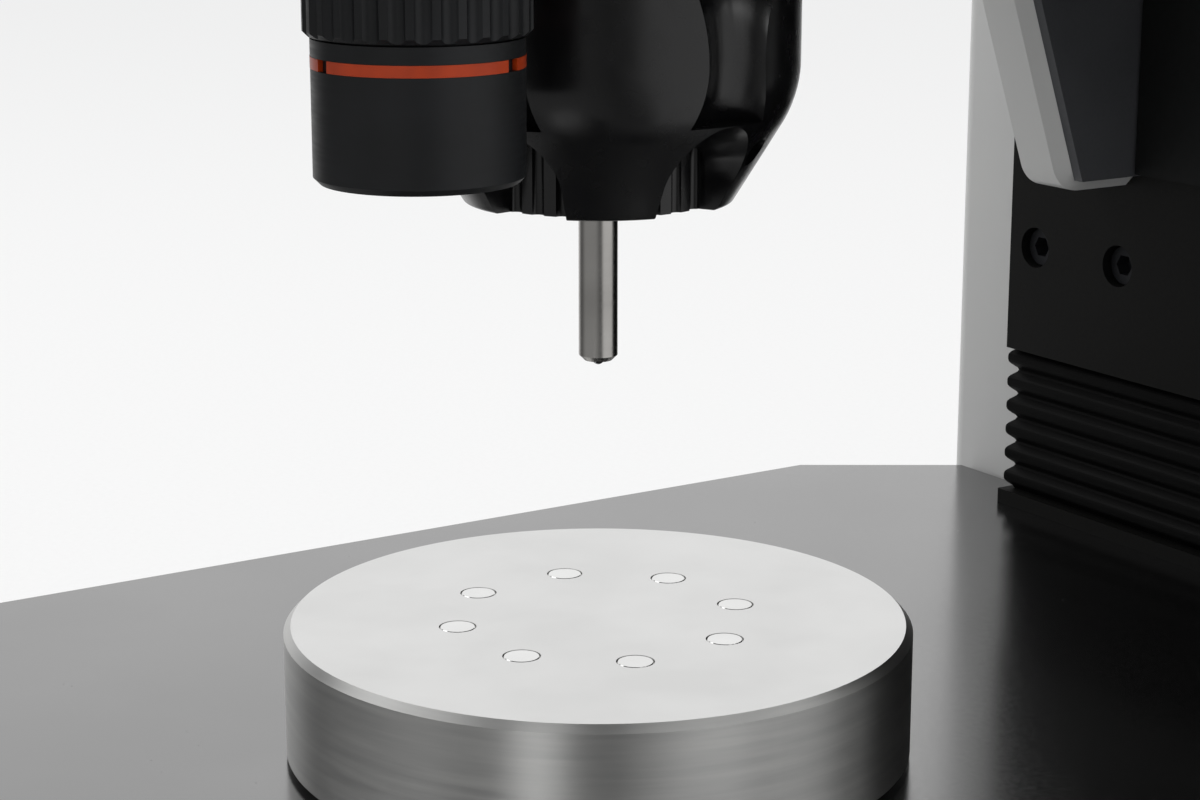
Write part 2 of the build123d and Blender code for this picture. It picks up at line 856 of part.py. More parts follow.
nut_level = plate_bottom + nut_rise
bracket_rear = casting_front - nut_bracket_gap
with BuildPart() as ball_nut:
    with BuildSketch(Plane.XY.offset(nut_level)):
        with Locations((0, (plate_rear + bracket_rear) / 2)):
            Rectangle(nut_bracket_width, bracket_rear - plate_rear)
    extrude(amount=nut_bracket_height)
    with BuildSketch(Plane.XY.offset(nut_level)):
        with Locations((0, screw_y)):
            Circle(screw_radius + nut_wall)
    extrude(amount=nut_length)
    with BuildSketch(Plane.XY.offset(nut_level)):
        with Locations((0, screw_y)):
            Circle(screw_radius + slide_fit)
    extrude(amount=nut_length, mode=Mode.SUBTRACT)
save(ball_nut, "ball_nut")

# ==== carriage ==================================================================================
screw_places = [(x, z) for x in screw_columns for z in row_levels]
with BuildPart() as carriage_plate:
    with BuildSketch(Plane.XY.offset(plate_bottom)):
        with Locations((0, (guide_front + plate_rear) / 2)):
            Rectangle(2 * (guide_half_width - panel_gap), plate_thickness)
    extrude(amount=plate_height)
    chamfer(carriage_plate.edges().filter_by(Axis.Z), plate_edge)
    with BuildSketch(Plane.XZ.offset(-guide_front)):
        with Locations(*screw_places):
            Circle(screw_recess_radius)
    extrude(amount=-screw_recess_depth, mode=Mode.SUBTRACT)
    with BuildSketch(Plane.XZ.offset(-guide_front)):
        with Locations(*screw_places):
            Circle(cap_screw_radius + fit)
    extrude(amount=-plate_thickness, mode=Mode.SUBTRACT)
save(carriage_plate, "carriage_plate")

with BuildPart() as carriage_screws:
    with BuildSketch(Plane.XZ.offset(-guide_front - screw_recess_depth)):
        with Locations(*screw_places):
            Circle(cap_screw_head_radius)
            RegularPolygon(cap_screw_socket / 2, 6, major_radius=False, mode=Mode.SUBTRACT)
    extrude(amount=cap_screw_head_height)
    with BuildSketch(Plane.XZ.offset(-guide_front - screw_recess_depth)):
        with Locations(*screw_places):
            Circle(cap_screw_head_radius)
    extrude(amount=cap_screw_web)
    with BuildSketch(Plane.XZ.offset(-guide_front - screw_recess_depth)):
        with Locations(*screw_places):
            Circle(cap_screw_radius)
    extrude(amount=-(plate_thickness - screw_recess_depth + cap_screw_bite))
save(carriage_screws, "carriage_screws")

# Four guide blocks that wrap the rails.
block_bottom = plate_rear + block_depth
with BuildPart() as guide_blocks:
    for level in block_levels:
        with BuildSketch(Plane.XY.offset(level)):
            for side in (-1, 1):
                with Locations((side * rail_offset, (plate_rear + block_bottom) / 2)):
                    Rectangle(block_width, block_depth)
                with Locations((side * rail_offset, casting_front - (rail_depth + rail_gap) / 2)):
                    Rectangle(rail_width + 2 * rail_gap, rail_depth + rail_gap, mode=Mode.SUBTRACT)
        extrude(amount=block_height)
    with BuildSketch(Plane.XZ.offset(-plate_rear)):
        with Locations(*screw_places):
            Circle(cap_screw_radius + fit)
    extrude(amount=-(cap_screw_bite + cap_screw_end_gap), mode=Mode.SUBTRACT)
save(guide_blocks, "guide_blocks")

# ==== head ======================================================================================
slope = tan(radians(cheek_slope))
cheek_bottom = anvil_top + cheek_level
cheek_top_y = cheek_foot_y - slope * (head_bottom - cheek_bottom)
arm_pad_front = guide_front - arm_pad_depth


def cheek_outline(inset):
    """Corners of a cheek seen from the side, its front and foot edges set in by inset."""
    low = cheek_bottom + inset
    foot = cheek_foot_y + inset - slope * inset
    return [(guide_front, low), (foot, low), (cheek_top_y + inset, head_bottom), (guide_front, head_bottom)]


# Main casting of the head: a rear pad on the carriage, a beam over the anvil and a
# round boss for the changer bearings.
with BuildPart() as head_arm:
    with BuildSketch(side_plane(-arm_half_width)) as arm_side:
        with BuildLine():
            Polyline((guide_front, cheek_bottom + arm_foot_rise),
                     (arm_pad_front, cheek_bottom + arm_foot_rise),
                     (arm_pad_front, head_bottom),
                     (cheek_top_y - arm_throat_rise, arm_bottom),
                     (-changer_reach, arm_bottom),
                     (-changer_reach, arm_top),
                     (guide_front - arm_crown_run, arm_top),
                     (guide_front, plate_top - arm_crown_drop),
                     close=True)
        make_face()
    extrude(amount=2 * arm_half_width)
    with BuildSketch(Plane.XY.offset(arm_bottom)):
        with Locations((0, -changer_reach)):
            Circle(arm_half_width)
    extrude(amount=arm_height)
    for side in (-1, 1):
        with BuildSketch(side_plane(side * arm_half_width)):
            with Locations((cheek_top_y / 2, arm_bottom + arm_height / 2)):
                RectangleRounded(arm_pocket_length, arm_height - 2 * arm_pocket_margin, arm_pocket_corner)
        extrude(amount=-side * arm_pocket_depth, mode=Mode.SUBTRACT)
    with BuildSketch(Plane.XY.offset(arm_bottom)):
        with Locations((0, -changer_reach)):
            Circle(bearing_radius)
        Circle(ram_radius + slide_fit)
    extrude(amount=arm_height, mode=Mode.SUBTRACT)
save(head_arm, "head_arm")

bearing_levels = (arm_bottom + bearing_inset, arm_top - bearing_height - bearing_inset)
with BuildPart() as changer_bearings:
    for level in bearing_levels:
        with BuildSketch(Plane.XY.offset(level)):
            with Locations((0, -changer_reach)):
                Circle(bearing_radius - press_fit)
                Circle(shaft_radius + fit, mode=Mode.SUBTRACT)
        extrude(amount=bearing_height)
save(changer_bearings, "changer_bearings")

# Light shells either side of the arm's foot, with a bevelled inner front edge.
for side, label in ((-1, "head_cheek_left"), (1, "head_cheek_right")):
    with BuildPart() as head_cheek:
        with BuildSketch(side_plane(side * (cheek_inner + cheek_panel_thickness))) as cheek_side:
            with BuildLine():
                Polyline(*cheek_outline(0), close=True)
            make_face()
            fillet(cheek_side.vertices().sort_by_distance((cheek_foot_y, cheek_bottom))[0], cheek_corner)
        extrude(amount=side * cheek_thickness)
        inner_face = head_cheek.faces().filter_by(Axis.X).sort_by(Axis.X)[0 if side > 0 else -1]
        front_edges = inner_face.edges().sort_by(Axis.Y)[0:3]
        chamfer(front_edges.filter_by(lambda edge: edge.center().Y < cheek_foot_y + cheek_corner),
                cheek_bevel)
    save(head_cheek, label)

for side, label in ((-1, "cheek_panel_left"), (1, "cheek_panel_right")):
    with BuildPart() as cheek_panel:
        with BuildSketch(side_plane(side * cheek_inner)):
            with BuildLine():
                Polyline(*cheek_outline(cheek_bevel), close=True)
            make_face()
        extrude(amount=side * cheek_panel_thickness)
    save(cheek_panel, label)


# Moulded hood over the whole head, open below and towards the carriage plate.
with BuildPart() as head_hood:
    with BuildSketch(side_plane(-hood_half_width)):
        with BuildLine():
            Polyline((hood_front + hood_chin_lean, head_bottom),
                     (hood_front, head_bottom + hood_chin_height),
                     (hood_front + hood_brow_lean, head_top),
                     (guide_front, head_top),
                     (guide_front, head_bottom),
                     close=True)
        make_face()
    extrude(amount=2 * hood_half_width)
    front_edges = head_hood.edges().filter_by(lambda edge: edge.center().Y < guide_front - hood_fillet
                                              and edge.center().Z > head_bottom + hood_skin)
    fillet(front_edges, hood_fillet)
    open_faces = [head_hood.faces().sort_by(Axis.Z)[0], head_hood.faces().sort_by(Axis.Y)[-1]]
    offset(amount=-hood_skin, openings=open_faces)
save(head_hood, "head_hood")

# Floor of the head, with a round opening for the changer.
floor_rear = arm_pad_front - floor_rear_gap
floor_front = hood_front + hood_chin_lean + hood_skin + floor_front_gap
with BuildPart() as head_floor:
    with BuildSketch(Plane.XY.offset(head_bottom)) as floor_outline:
        with Locations((0, (floor_front + floor_rear) / 2)):
            Rectangle(2 * (hood_half_width - hood_skin - floor_gap), floor_rear - floor_front)
        fillet(floor_outline.vertices().group_by(Axis.Y)[0], hood_fillet)
        with Locations((0, -changer_reach)):
            Circle(changer_radius + changer_gap, mode=Mode.SUBTRACT)
    extrude(amount=floor_thickness)
save(head_floor, "head_floor")

# ==== tool changer ==============================================================================
# Turning disc with a guide bore for the spindle, two camera places and a spare port.
with BuildPart() as changer_disc:
    with BuildSketch(Plane.XY.offset(changer_bottom)):
        with Locations((0, -changer_reach)):
            Circle(changer_radius)
    extrude(amount=changer_thickness)
    chamfer(changer_disc.edges().group_by(Axis.Z)[0], changer_edge)
    with BuildSketch(Plane.XY.offset(changer_bottom)):
        Circle(spindle_radius + slide_fit)
        with Locations((lens_x, lens_y)):
            Circle(lens_neck_radius + fit)
        with Locations((objective_x, objective_y)):
            Circle(objective_radius + fit)
        with Locations((spare_x, spare_y)):
            Circle(spare_port_radius)
    extrude(amount=changer_thickness, mode=Mode.SUBTRACT)
save(changer_disc, "changer_disc")

shaft_nut_bottom = arm_top - bearing_inset + shaft_nut_seat
shaft_top = shaft_nut_bottom + shaft_nut_height
with BuildPart() as changer_shaft:
    with BuildSketch(Plane.XY.offset(changer_top)):
        with Locations((0, -changer_reach)):
            Circle(shaft_flange_radius)
    extrude(amount=shaft_flange_thickness)
    with BuildSketch(Plane.XY.offset(changer_top)):
        with Locations((0, -changer_reach)):
            Circle(shaft_radius)
    extrude(amount=shaft_top - changer_top)
    with BuildSketch(Plane.XY.offset(shaft_nut_bottom)):
        with Locations((0, -changer_reach)):
            Circle(shaft_nut_radius)
    extrude(amount=shaft_nut_height)
    with BuildSketch(Plane.XY.offset(bearing_levels[0] + bearing_height + shaft_nut_seat)):
        with Locations((0, -changer_reach)):
            Circle(shaft_collar_radius)
    extrude(amount=shaft_collar_height)
save(changer_shaft, "changer_shaft")

# ==== indenter holder ===========================================================================
groove_angles = [arm_phase + (index + 0.5) * 360 / arm_count for index in range(arm_count)]
cone_tangent = tan(radians(holder_cone_angle))
shoulder_level = holder_bottom + (holder_radius - holder_foot_radius) * cone_tangent
pocket_crown = anvil_top + groove_foot_level + pocket_crown_rise
pocket_spring = pocket_crown - pocket_half_width
clamp_angle = arm_phase + 360 / arm_count - clamp_offset


def radial_plane(angle, reach, level):
    """Upright plane facing outwards at an angle about the test axis; local y is up."""
    outward = (cos(radians(angle)), sin(radians(angle)), 0)
    return Plane(origin=(reach * outward[0], reach * outward[1], level),
                 x_dir=(-outward[1], outward[0], 0), z_dir=outward)


# Five-armed holder turned with a cone at its foot.  Waisted scallops part the arms,
# arched pockets part the five feet, and a fluted core shows between them.
with BuildPart() as indenter_holder:
    with BuildSketch(upright(0, 0)) as holder_side:
        with BuildLine():
            Polyline((0, holder_bottom),
                     (holder_foot_radius, holder_bottom),
                     (holder_radius, shoulder_level),
                     (holder_radius, holder_top),
                     (0, holder_top),
                     close=True)
        make_face()
        fillet(holder_side.vertices().sort_by_distance((holder_radius, shoulder_level))[0],
               holder_shoulder_radius)
        fillet(holder_side.vertices().sort_by_distance((holder_foot_radius, holder_bottom))[0],
               holder_foot_round)
    revolve(axis=Axis.Z)
    for angle in groove_angles:
        groove_x = groove_axis_radius * cos(radians(angle))
        groove_y = groove_axis_radius * sin(radians(angle))
        with BuildSketch(upright(groove_x, groove_y)):
            with BuildLine():
                waist = (groove_waist_radius, anvil_top + groove_waist_level)
                top = (groove_top_radius, anvil_top + groove_top_level)
                foot = (groove_waist_radius + groove_foot_flare, anvil_top + groove_foot_level)
                TangentArc(waist, top, tangent=(0, 1))
                TangentArc(waist, foot, tangent=(0, -1))
                Polyline(top, (groove_top_radius, holder_top + cut_over), (0, holder_top + cut_over),
                         (0, foot[1]), foot)
            make_face()
        revolve(axis=upright_axis(groove_x, groove_y), mode=Mode.SUBTRACT)
    for angle in groove_angles:
        with BuildSketch(radial_plane(angle, pocket_core_radius - pocket_bite, 0)):
            with Locations((0, (holder_bottom - cut_over + pocket_spring) / 2)):
                Rectangle(2 * pocket_half_width, pocket_spring - holder_bottom + cut_over)
            with Locations((0, pocket_spring)):
                Circle(pocket_half_width)
        extrude(amount=holder_radius, taper=-pocket_taper, mode=Mode.SUBTRACT)
    with BuildSketch(Plane.XY.offset(holder_bottom)):
        Circle(pocket_core_radius)
    extrude(amount=groove_foot_level - holder_level)
    with BuildSketch(Plane.XY.offset(holder_bottom)):
        for angle in groove_angles:
            with PolarLocations(pocket_core_radius + flute_offset, flute_count, endpoint=True,
                                start_angle=angle - flute_spread / 2, angular_range=flute_spread):
                Circle(flute_radius)
    extrude(amount=groove_foot_level - holder_level, mode=Mode.SUBTRACT)
    with BuildSketch(Plane.XY.offset(holder_bottom)):
        Circle(indenter_radius + fit)
    extrude(amount=indenter_seat, mode=Mode.SUBTRACT)
    with BuildSketch(Plane.XY.offset(holder_top)):
        Circle(spindle_radius + press_fit)
    extrude(amount=-spindle_seat, mode=Mode.SUBTRACT)
    with BuildSketch(radial_plane(clamp_angle, 0, anvil_top + clamp_screw_level)):
        Circle(clamp_screw_radius + fit)
    extrude(amount=holder_radius, mode=Mode.SUBTRACT)
    with BuildSketch(radial_plane(clamp_angle, clamp_recess_floor, anvil_top + clamp_screw_level)):
        Circle(clamp_recess_radius)
    extrude(amount=holder_radius, mode=Mode.SUBTRACT)
save(indenter_holder, "indenter_holder")

clamp_screw_tip = indenter_radius + clamp_screw_tip_gap
with BuildPart() as indenter_clamp_screw:
    with BuildSketch(radial_plane(clamp_angle, clamp_screw_tip, anvil_top + clamp_screw_level)):
        Circle(clamp_screw_radius)
    extrude(amount=clamp_screw_length)
    with BuildSketch(radial_plane(clamp_angle, clamp_screw_tip + clamp_screw_length,
                                  anvil_top + clamp_screw_level)):
        RegularPolygon(clamp_socket_radius, 6, major_radius=False)
    extrude(amount=-clamp_socket_depth, mode=Mode.SUBTRACT)
save(indenter_clamp_screw, "indenter_clamp_screw")

with BuildPart() as load_spindle:
    with BuildSketch(Plane.XY.offset(holder_top - spindle_seat)):
        Circle(spindle_radius)
    extrude(amount=cell_bottom - holder_top + spindle_seat)
    chamfer(load_spindle.edges().group_by(Axis.Z)[0], spindle_edge)
save(load_spindle, "load_spindle")

# Load cell: a drum with a waist, on the spindle's upper end.
with BuildPart() as load_cell:
    with BuildSketch(upright(0, 0)):
        with BuildLine():
            Polyline((0, cell_bottom),
                     (load_cell_radius, cell_bottom),
                     (load_cell_radius, cell_bottom + load_cell_rim),
                     (load_cell_radius - load_cell_waist, cell_bottom + load_cell_rim + load_cell_taper),
                     (load_cell_radius - load_cell_waist, cell_top - load_cell_rim - load_cell_taper),
                     (load_cell_radius, cell_top - load_cell_rim),
                     (load_cell_radius, cell_top),
                     (0, cell_top),
                     close=True)
        make_face()
    revolve(axis=Axis.Z)
save(load_cell, "load_cell")

# Ground shank of the indenter, with a coned end around its ball.
ball_centre = indenter_bottom - ball_show + ball_radius
with BuildPart() as indenter:
    with BuildSketch(Plane.XY.offset(indenter_bottom)):
        Circle(indenter_radius)
    extrude(amount=holder_bottom + indenter_seat - indenter_bottom - indenter_top_gap)
    chamfer(indenter.edges().group_by(Axis.Z)[-1], indenter_top_chamfer)
    chamfer(indenter.edges().group_by(Axis.Z)[0], indenter_end_chamfer)
    with Locations((0, 0, ball_centre)):
        Sphere(ball_radius + press_fit, mode=Mode.SUBTRACT)
save(indenter, "indenter")

with BuildPart() as indenter_ball:
    with Locations((0, 0, ball_centre)):
        Sphere(ball_radius)
save(indenter_ball, "indenter_ball")

# ==== load drive in the head ====================================================================
ram_bottom = cell_top + ram_gap
ram_top = arm_top + ram_inside_length
with BuildPart() as load_ram:
    with BuildSketch(Plane.XY.offset(ram_bottom)):
        Circle(ram_radius)
    extrude(amount=ram_top - ram_bottom)
    fillet(load_ram.edges().group_by(Axis.Z)[0], ram_end_round)
save(load_ram, "load_ram")

with BuildPart() as load_actuator:
    with BuildSketch(Plane.XY.offset(arm_top)):
        with Locations((0, actuator_offset)):
            RectangleRounded(actuator_width, actuator_width, actuator_corner)
    extrude(amount=actuator_height)
    with BuildSketch(Plane.XY.offset(arm_top)):
        Circle(ram_radius + slide_fit)
    extrude(amount=ram_inside_length + ram_gap, mode=Mode.SUBTRACT)
save(load_actuator, "load_actuator")

# ==== overview lens =============================================================================
glass_top = lens_bottom + lens_glass_set_back + lens_glass_thickness
groove_low = lens_bottom + barrel_height
groove_high = groove_low + ring_groove
focus_low = groove_high + ring_land + focus_rim_gap
focus_high = focus_low + focus_ring_height
shoulder_low = focus_high + focus_rim_gap
camera_bottom = changer_top + neck_rise
with BuildPart() as lens_barrel:
    with BuildSketch(upright(lens_x, lens_y)):
        with BuildLine():
            Polyline((lens_bore_radius, glass_top),
                     (lens_glass_radius + fit, glass_top),
                     (lens_glass_radius + fit, lens_bottom + lens_glass_set_back),
                     (barrel_radius - lens_rim_edge - lens_rim, lens_bottom),
                     (barrel_radius - lens_rim_edge, lens_bottom),
                     (barrel_radius, lens_bottom + lens_rim_height),
                     (barrel_radius, groove_low),
                     (barrel_radius - ring_groove_depth, groove_low),
                     (barrel_radius - ring_groove_depth, groove_high),
                     (barrel_radius, groove_high),
                     (barrel_radius, groove_high + ring_land),
                     (focus_seat_radius, groove_high + ring_land),
                     (focus_seat_radius, shoulder_low),
                     (barrel_radius, shoulder_low),
                     (barrel_radius, changer_bottom),
                     (lens_neck_radius, changer_bottom),
                     (lens_neck_radius, camera_bottom),
                     (lens_bore_radius, camera_bottom),
                     close=True)
        make_face()
    revolve(axis=upright_axis(lens_x, lens_y))
save(lens_barrel, "lens_barrel")

# Enamelled ring in three arcs that are parted by short gaps.
ring_reach = 2 * (ring_groove_depth + ring_stand + cut_over)
with BuildPart() as accent_ring:
    with BuildSketch(Plane.XY.offset(groove_low + slide_fit)):
        with Locations((lens_x, lens_y)):
            Circle(barrel_radius + ring_stand)
            Circle(barrel_radius - ring_groove_depth + press_fit, mode=Mode.SUBTRACT)
            with PolarLocations(barrel_radius, ring_arcs, start_angle=ring_phase):
                Rectangle(ring_reach, ring_arc_gap, mode=Mode.SUBTRACT)
    extrude(amount=ring_groove - 2 * slide_fit)
save(accent_ring, "accent_ring")

with BuildPart() as lens_glass:
    with BuildSketch(upright(lens_x, lens_y)):
        with BuildLine():
            edge_low = (lens_glass_radius, glass_top - lens_glass_rim)
            centre_low = (0, glass_top - lens_glass_rim - lens_glass_crown)
            Polyline(edge_low, (lens_glass_radius, glass_top), (0, glass_top), centre_low)
            TangentArc(centre_low, edge_low, tangent=(1, 0))
        make_face()
    revolve(axis=upright_axis(lens_x, lens_y))
save(lens_glass, "lens_glass")

# Ribbed focus ring, turned by hand on its seat.
with BuildPart() as focus_ring:
    with BuildSketch(Plane.XY.offset(focus_low)):
        with Locations((lens_x, lens_y)):
            Circle(focus_ring_radius)
    extrude(amount=focus_ring_height)
    chamfer(focus_ring.edges().group_by(Axis.Z)[0], focus_ring_bevel, focus_ring_chamfer)
    with BuildSketch(Plane.XY.offset(focus_low)):
        with Locations((lens_x, lens_y)):
            Circle(focus_seat_radius + slide_fit)
    extrude(amount=focus_ring_height, mode=Mode.SUBTRACT)
    with BuildSketch(Plane.XY.offset(focus_low)):
        with Locations((lens_x, lens_y)):
            with PolarLocations(focus_ring_radius + focus_flute_offset, focus_flutes):
                Circle(focus_flute_radius)
    extrude(amount=focus_ring_height - focus_rim, mode=Mode.SUBTRACT)
save(focus_ring, "focus_ring")

# Short measuring objective with a tapered nose.
objective_bottom = anvil_top + objective_level
with BuildPart() as measuring_objective:
    with BuildSketch(upright(objective_x, objective_y)):
        with BuildLine():
            Polyline((0, objective_bottom + objective_lip),
                     (objective_nose_radius - 2 * objective_lip, objective_bottom + objective_lip),
                     (objective_nose_radius - objective_lip, objective_bottom),
                     (objective_nose_radius, objective_bottom),
                     (objective_radius, objective_bottom + objective_nose_height),
                     (objective_radius + objective_flange, objective_bottom + objective_nose_height),
                     (objective_radius + objective_flange, changer_bottom),
                     (objective_radius, changer_bottom),
                     (objective_radius, camera_bottom),
                     (0, camera_bottom),
                     close=True)
        make_face()
    revolve(axis=upright_axis(objective_x, objective_y))
save(measuring_objective, "measuring_objective")

for centre, label in (((lens_x, lens_y), "overview_camera"),
                      ((objective_x, objective_y), "measuring_camera")):
    with BuildPart() as camera:
        with BuildSketch(Plane.XY.offset(camera_bottom)):
            with Locations(centre):
                RectangleRounded(camera_width, camera_width, camera_fillet)
        extrude(amount=camera_height)
        chamfer(camera.edges().group_by(Axis.Z)[-1], camera_edge)
    save(camera, label)

# ==== controls on the base front ================================================================
with BuildPart() as control_bezels:
    with BuildSketch(Plane.XZ.offset(-base_front)):
        with Locations((stop_x, control_level)):
            Circle(stop_bezel_radius)
            Circle(stop_stem_radius + slide_fit, mode=Mode.SUBTRACT)
        with Locations((start_x, control_level)):
            Circle(start_bezel_radius)
            Circle(start_radius + slide_fit, mode=Mode.SUBTRACT)
    extrude(amount=bezel_thickness)
    chamfer(control_bezels.edges().group_by(Axis.Y)[0], bezel_edge)
save(control_bezels, "control_bezels")

with BuildPart() as stop_button:
    with BuildSketch(Plane.XZ.offset(-base_front - base_wall)):
        with Locations((stop_x, control_level)):
            Circle(stop_stem_radius)
    extrude(amount=base_wall + stop_projection - stop_head_height + stop_stem_overlap)
    with BuildSketch(Plane.XZ.offset(-base_front + stop_projection - stop_head_height)):
        with Locations((stop_x, control_level)):
            Circle(stop_radius)
    extrude(amount=stop_head_height)
    fillet(stop_button.edges().group_by(Axis.Y)[0], stop_head_round)
save(stop_button, "stop_button")

with BuildPart() as start_button:
    with BuildSketch(Plane.XZ.offset(-base_front - base_wall)):
        with Locations((start_x, control_level)):
            Circle(start_radius)
    extrude(amount=base_wall + start_projection)
    fillet(start_button.edges().group_by(Axis.Y)[0], start_edge_round)
save(start_button, "start_button")

# ==== power inlet at the rear ===================================================================
axle_y = rear_face - rocker_axle_depth
with BuildPart() as power_inlet:
    with BuildSketch(Plane.XZ.offset(-base_rear)):
        with Locations((inlet_x, control_level)):
            RectangleRounded(2 * (inlet_half_width + inlet_margin), 2 * (inlet_half_height + inlet_margin),
                             inlet_margin)
    extrude(amount=-inlet_lip)
    with BuildSketch(Plane.XZ.offset(-base_rear)):
        with Locations((inlet_x, control_level)):
            Rectangle(2 * inlet_half_width, 2 * inlet_half_height)
    extrude(amount=inlet_depth)
    with BuildSketch(Plane.XZ.offset(-rear_face)) as socket_mouth:
        with Locations((socket_x, control_level)):
            Rectangle(2 * socket_half_width, 2 * socket_half_height)
        chamfer(socket_mouth.vertices().group_by(Axis.Y)[-1], socket_corner)
    extrude(amount=socket_depth, mode=Mode.SUBTRACT)
    with BuildSketch(Plane.XZ.offset(-rear_face + socket_depth)):
        with Locations((socket_x - contact_pitch, control_level - contact_drop),
                       (socket_x, control_level + contact_rise),
                       (socket_x + contact_pitch, control_level - contact_drop)):
            Rectangle(contact_width, contact_height)
    extrude(amount=-contact_length)
    with BuildSketch(Plane.XZ.offset(-rear_face)):
        with Locations((rocker_x, control_level)):
            Rectangle(2 * (rocker_half_width + rocker_gap), 2 * (rocker_half_height + rocker_side_gap))
    extrude(amount=rocker_depth + rocker_room, mode=Mode.SUBTRACT)
    with BuildSketch(Plane.XY.offset(control_level - rocker_half_height - rocker_axle_end - slide_fit)):
        with Locations((rocker_x, axle_y)):
            Circle(rocker_axle_radius + slide_fit)
    extrude(amount=2 * (rocker_half_height + rocker_axle_end + slide_fit), mode=Mode.SUBTRACT)
save(power_inlet, "power_inlet")

with BuildPart() as power_rocker:
    with BuildSketch(Plane.XY.offset(control_level - rocker_half_height)):
        with BuildLine():
            Polyline((rocker_x - rocker_half_width, rear_face + rocker_crown),
                     (rocker_x, rear_face + rocker_valley),
                     (rocker_x + rocker_half_width, rear_face + rocker_crown),
                     (rocker_x + rocker_half_width - rocker_taper, rear_face - rocker_depth),
                     (rocker_x - rocker_half_width + rocker_taper, rear_face - rocker_depth),
                     close=True)
        make_face()
    extrude(amount=2 * rocker_half_height)
    with BuildSketch(Plane.XY.offset(control_level - rocker_half_height - rocker_axle_end)):
        with Locations((rocker_x, axle_y)):
            Circle(rocker_axle_radius)
    extrude(amount=2 * (rocker_half_height + rocker_axle_end))
save(power_rocker, "power_rocker")
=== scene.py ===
"""Finishes, folded bellows, light and camera for the bench hardness tester.

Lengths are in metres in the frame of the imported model: +Z up, the operator at -Y and the
column at +Y.  The test axis is the upright line through the middle of the anvil.
"""

import bpy
import numpy as np
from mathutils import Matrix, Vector


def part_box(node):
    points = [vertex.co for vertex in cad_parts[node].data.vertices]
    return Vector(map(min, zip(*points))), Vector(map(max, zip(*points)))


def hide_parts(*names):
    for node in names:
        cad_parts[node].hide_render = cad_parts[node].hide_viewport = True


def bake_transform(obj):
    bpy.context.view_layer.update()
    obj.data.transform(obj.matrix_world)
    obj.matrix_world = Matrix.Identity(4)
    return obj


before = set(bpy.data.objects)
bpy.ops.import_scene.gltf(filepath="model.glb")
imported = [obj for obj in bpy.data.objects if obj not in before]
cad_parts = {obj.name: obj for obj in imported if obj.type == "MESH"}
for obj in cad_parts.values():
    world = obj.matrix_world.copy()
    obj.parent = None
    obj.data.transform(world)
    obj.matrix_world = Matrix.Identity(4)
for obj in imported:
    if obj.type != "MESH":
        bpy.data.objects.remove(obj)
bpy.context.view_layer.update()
MM = 0.001

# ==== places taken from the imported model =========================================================
anvil_low, anvil_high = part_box("anvil")
AXIS_X = (anvil_low.x + anvil_high.x) / 2
AXIS_Y = (anvil_low.y + anvil_high.y) / 2
ANVIL_TOP = anvil_high.z


def linear(hex_colour):
    """Linear RGBA of an sRGB colour written as six hex digits."""
    channels = np.array([int(hex_colour[i:i + 2], 16) for i in (0, 2, 4)]) / 255
    curve = np.where(channels <= 0.04045, channels / 12.92, ((channels + 0.055) / 1.055) ** 2.4)
    return (*curve.tolist(), 1.0)


def add(tree, kind, settings=None, inputs=None, stops=None):
    """Add one node to tree.  settings are its properties.  inputs are its sockets, and each is
    given a node, whose first output is joined to it, an output socket, or a plain value.  stops are
    the places and hex colours of a colour ramp's two ends.  A Mix node's sockets go by number: 0 is
    the factor, 2 and 3 are its numbers, 6 and 7 its colours, and output 2 is the mixed colour."""
    made = tree.nodes.new(kind)
    for name, value in (settings or {}).items():
        setattr(made, name, value)
    for socket, value in (inputs or {}).items():
        if isinstance(value, bpy.types.Node):
            value = value.outputs[0]
        if isinstance(value, bpy.types.NodeSocket):
            tree.links.new(value, made.inputs[socket])
        else:
            made.inputs[socket].default_value = value
    for element, (position, colour) in zip(made.color_ramp.elements if stops else (), stops or ()):
        element.position = position
        element.color = linear(colour)
    return made


def start_material(name):
    """New material with an empty tree, and the object's own coordinates to draw its patterns on."""
    made = bpy.data.materials.new(name)
    made.use_nodes = True
    made.node_tree.nodes.clear()
    return made, made.node_tree, add(made.node_tree, "ShaderNodeTexCoord").outputs["Object"]


def dress(material, *nodes):
    """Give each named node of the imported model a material."""
    for node_name in nodes:
        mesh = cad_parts[node_name].data
        mesh.materials.clear()
        mesh.materials.append(material)


# ==== finishes shared by several nodes ===========================================================
# Noise keeps mostly between 0.3 and 0.7, so gloss is spread over that span, and a colour that
# drifts changes over the middle of it.
NOISE_SPAN = {"From Min": 0.3, "From Max": 0.7}
DRIFT_FROM, DRIFT_TO = 0.35, 0.65


def sprayed_paint(name, base, shade, roughness, peel, peel_depth, coat=0.12, shine=0.5):
    """Sprayed paint: an even colour that drifts from base to shade over 60 mm, and an orange peel
    of bumps peel metres across and peel_depth metres high, which also makes the gloss uneven."""
    made, tree, place = start_material(name)
    drift = add(tree, "ShaderNodeTexNoise", None,
                {"Vector": place, "Scale": 1 / (60 * MM), "Detail": 3.0})
    colour = add(tree, "ShaderNodeValToRGB", None, {"Fac": drift},
                 ((DRIFT_FROM, base), (DRIFT_TO, shade)))
    bumps = add(tree, "ShaderNodeTexNoise", None,
                {"Vector": place, "Scale": 1 / peel, "Detail": 2.0})
    gloss = add(tree, "ShaderNodeMapRange", None,
                {"Value": bumps, **NOISE_SPAN, "To Min": roughness - 0.04,
                 "To Max": roughness + 0.05})
    normal = add(tree, "ShaderNodeBump", None, {"Height": bumps, "Distance": peel_depth})
    paint = add(tree, "ShaderNodeBsdfPrincipled", None,
                {"Base Color": colour, "Roughness": gloss, "Normal": normal, "IOR": 1.5,
                 "Specular IOR Level": shine, "Coat Weight": coat, "Coat Roughness": 0.25})
    add(tree, "ShaderNodeOutputMaterial", None, {"Surface": paint})
    return made


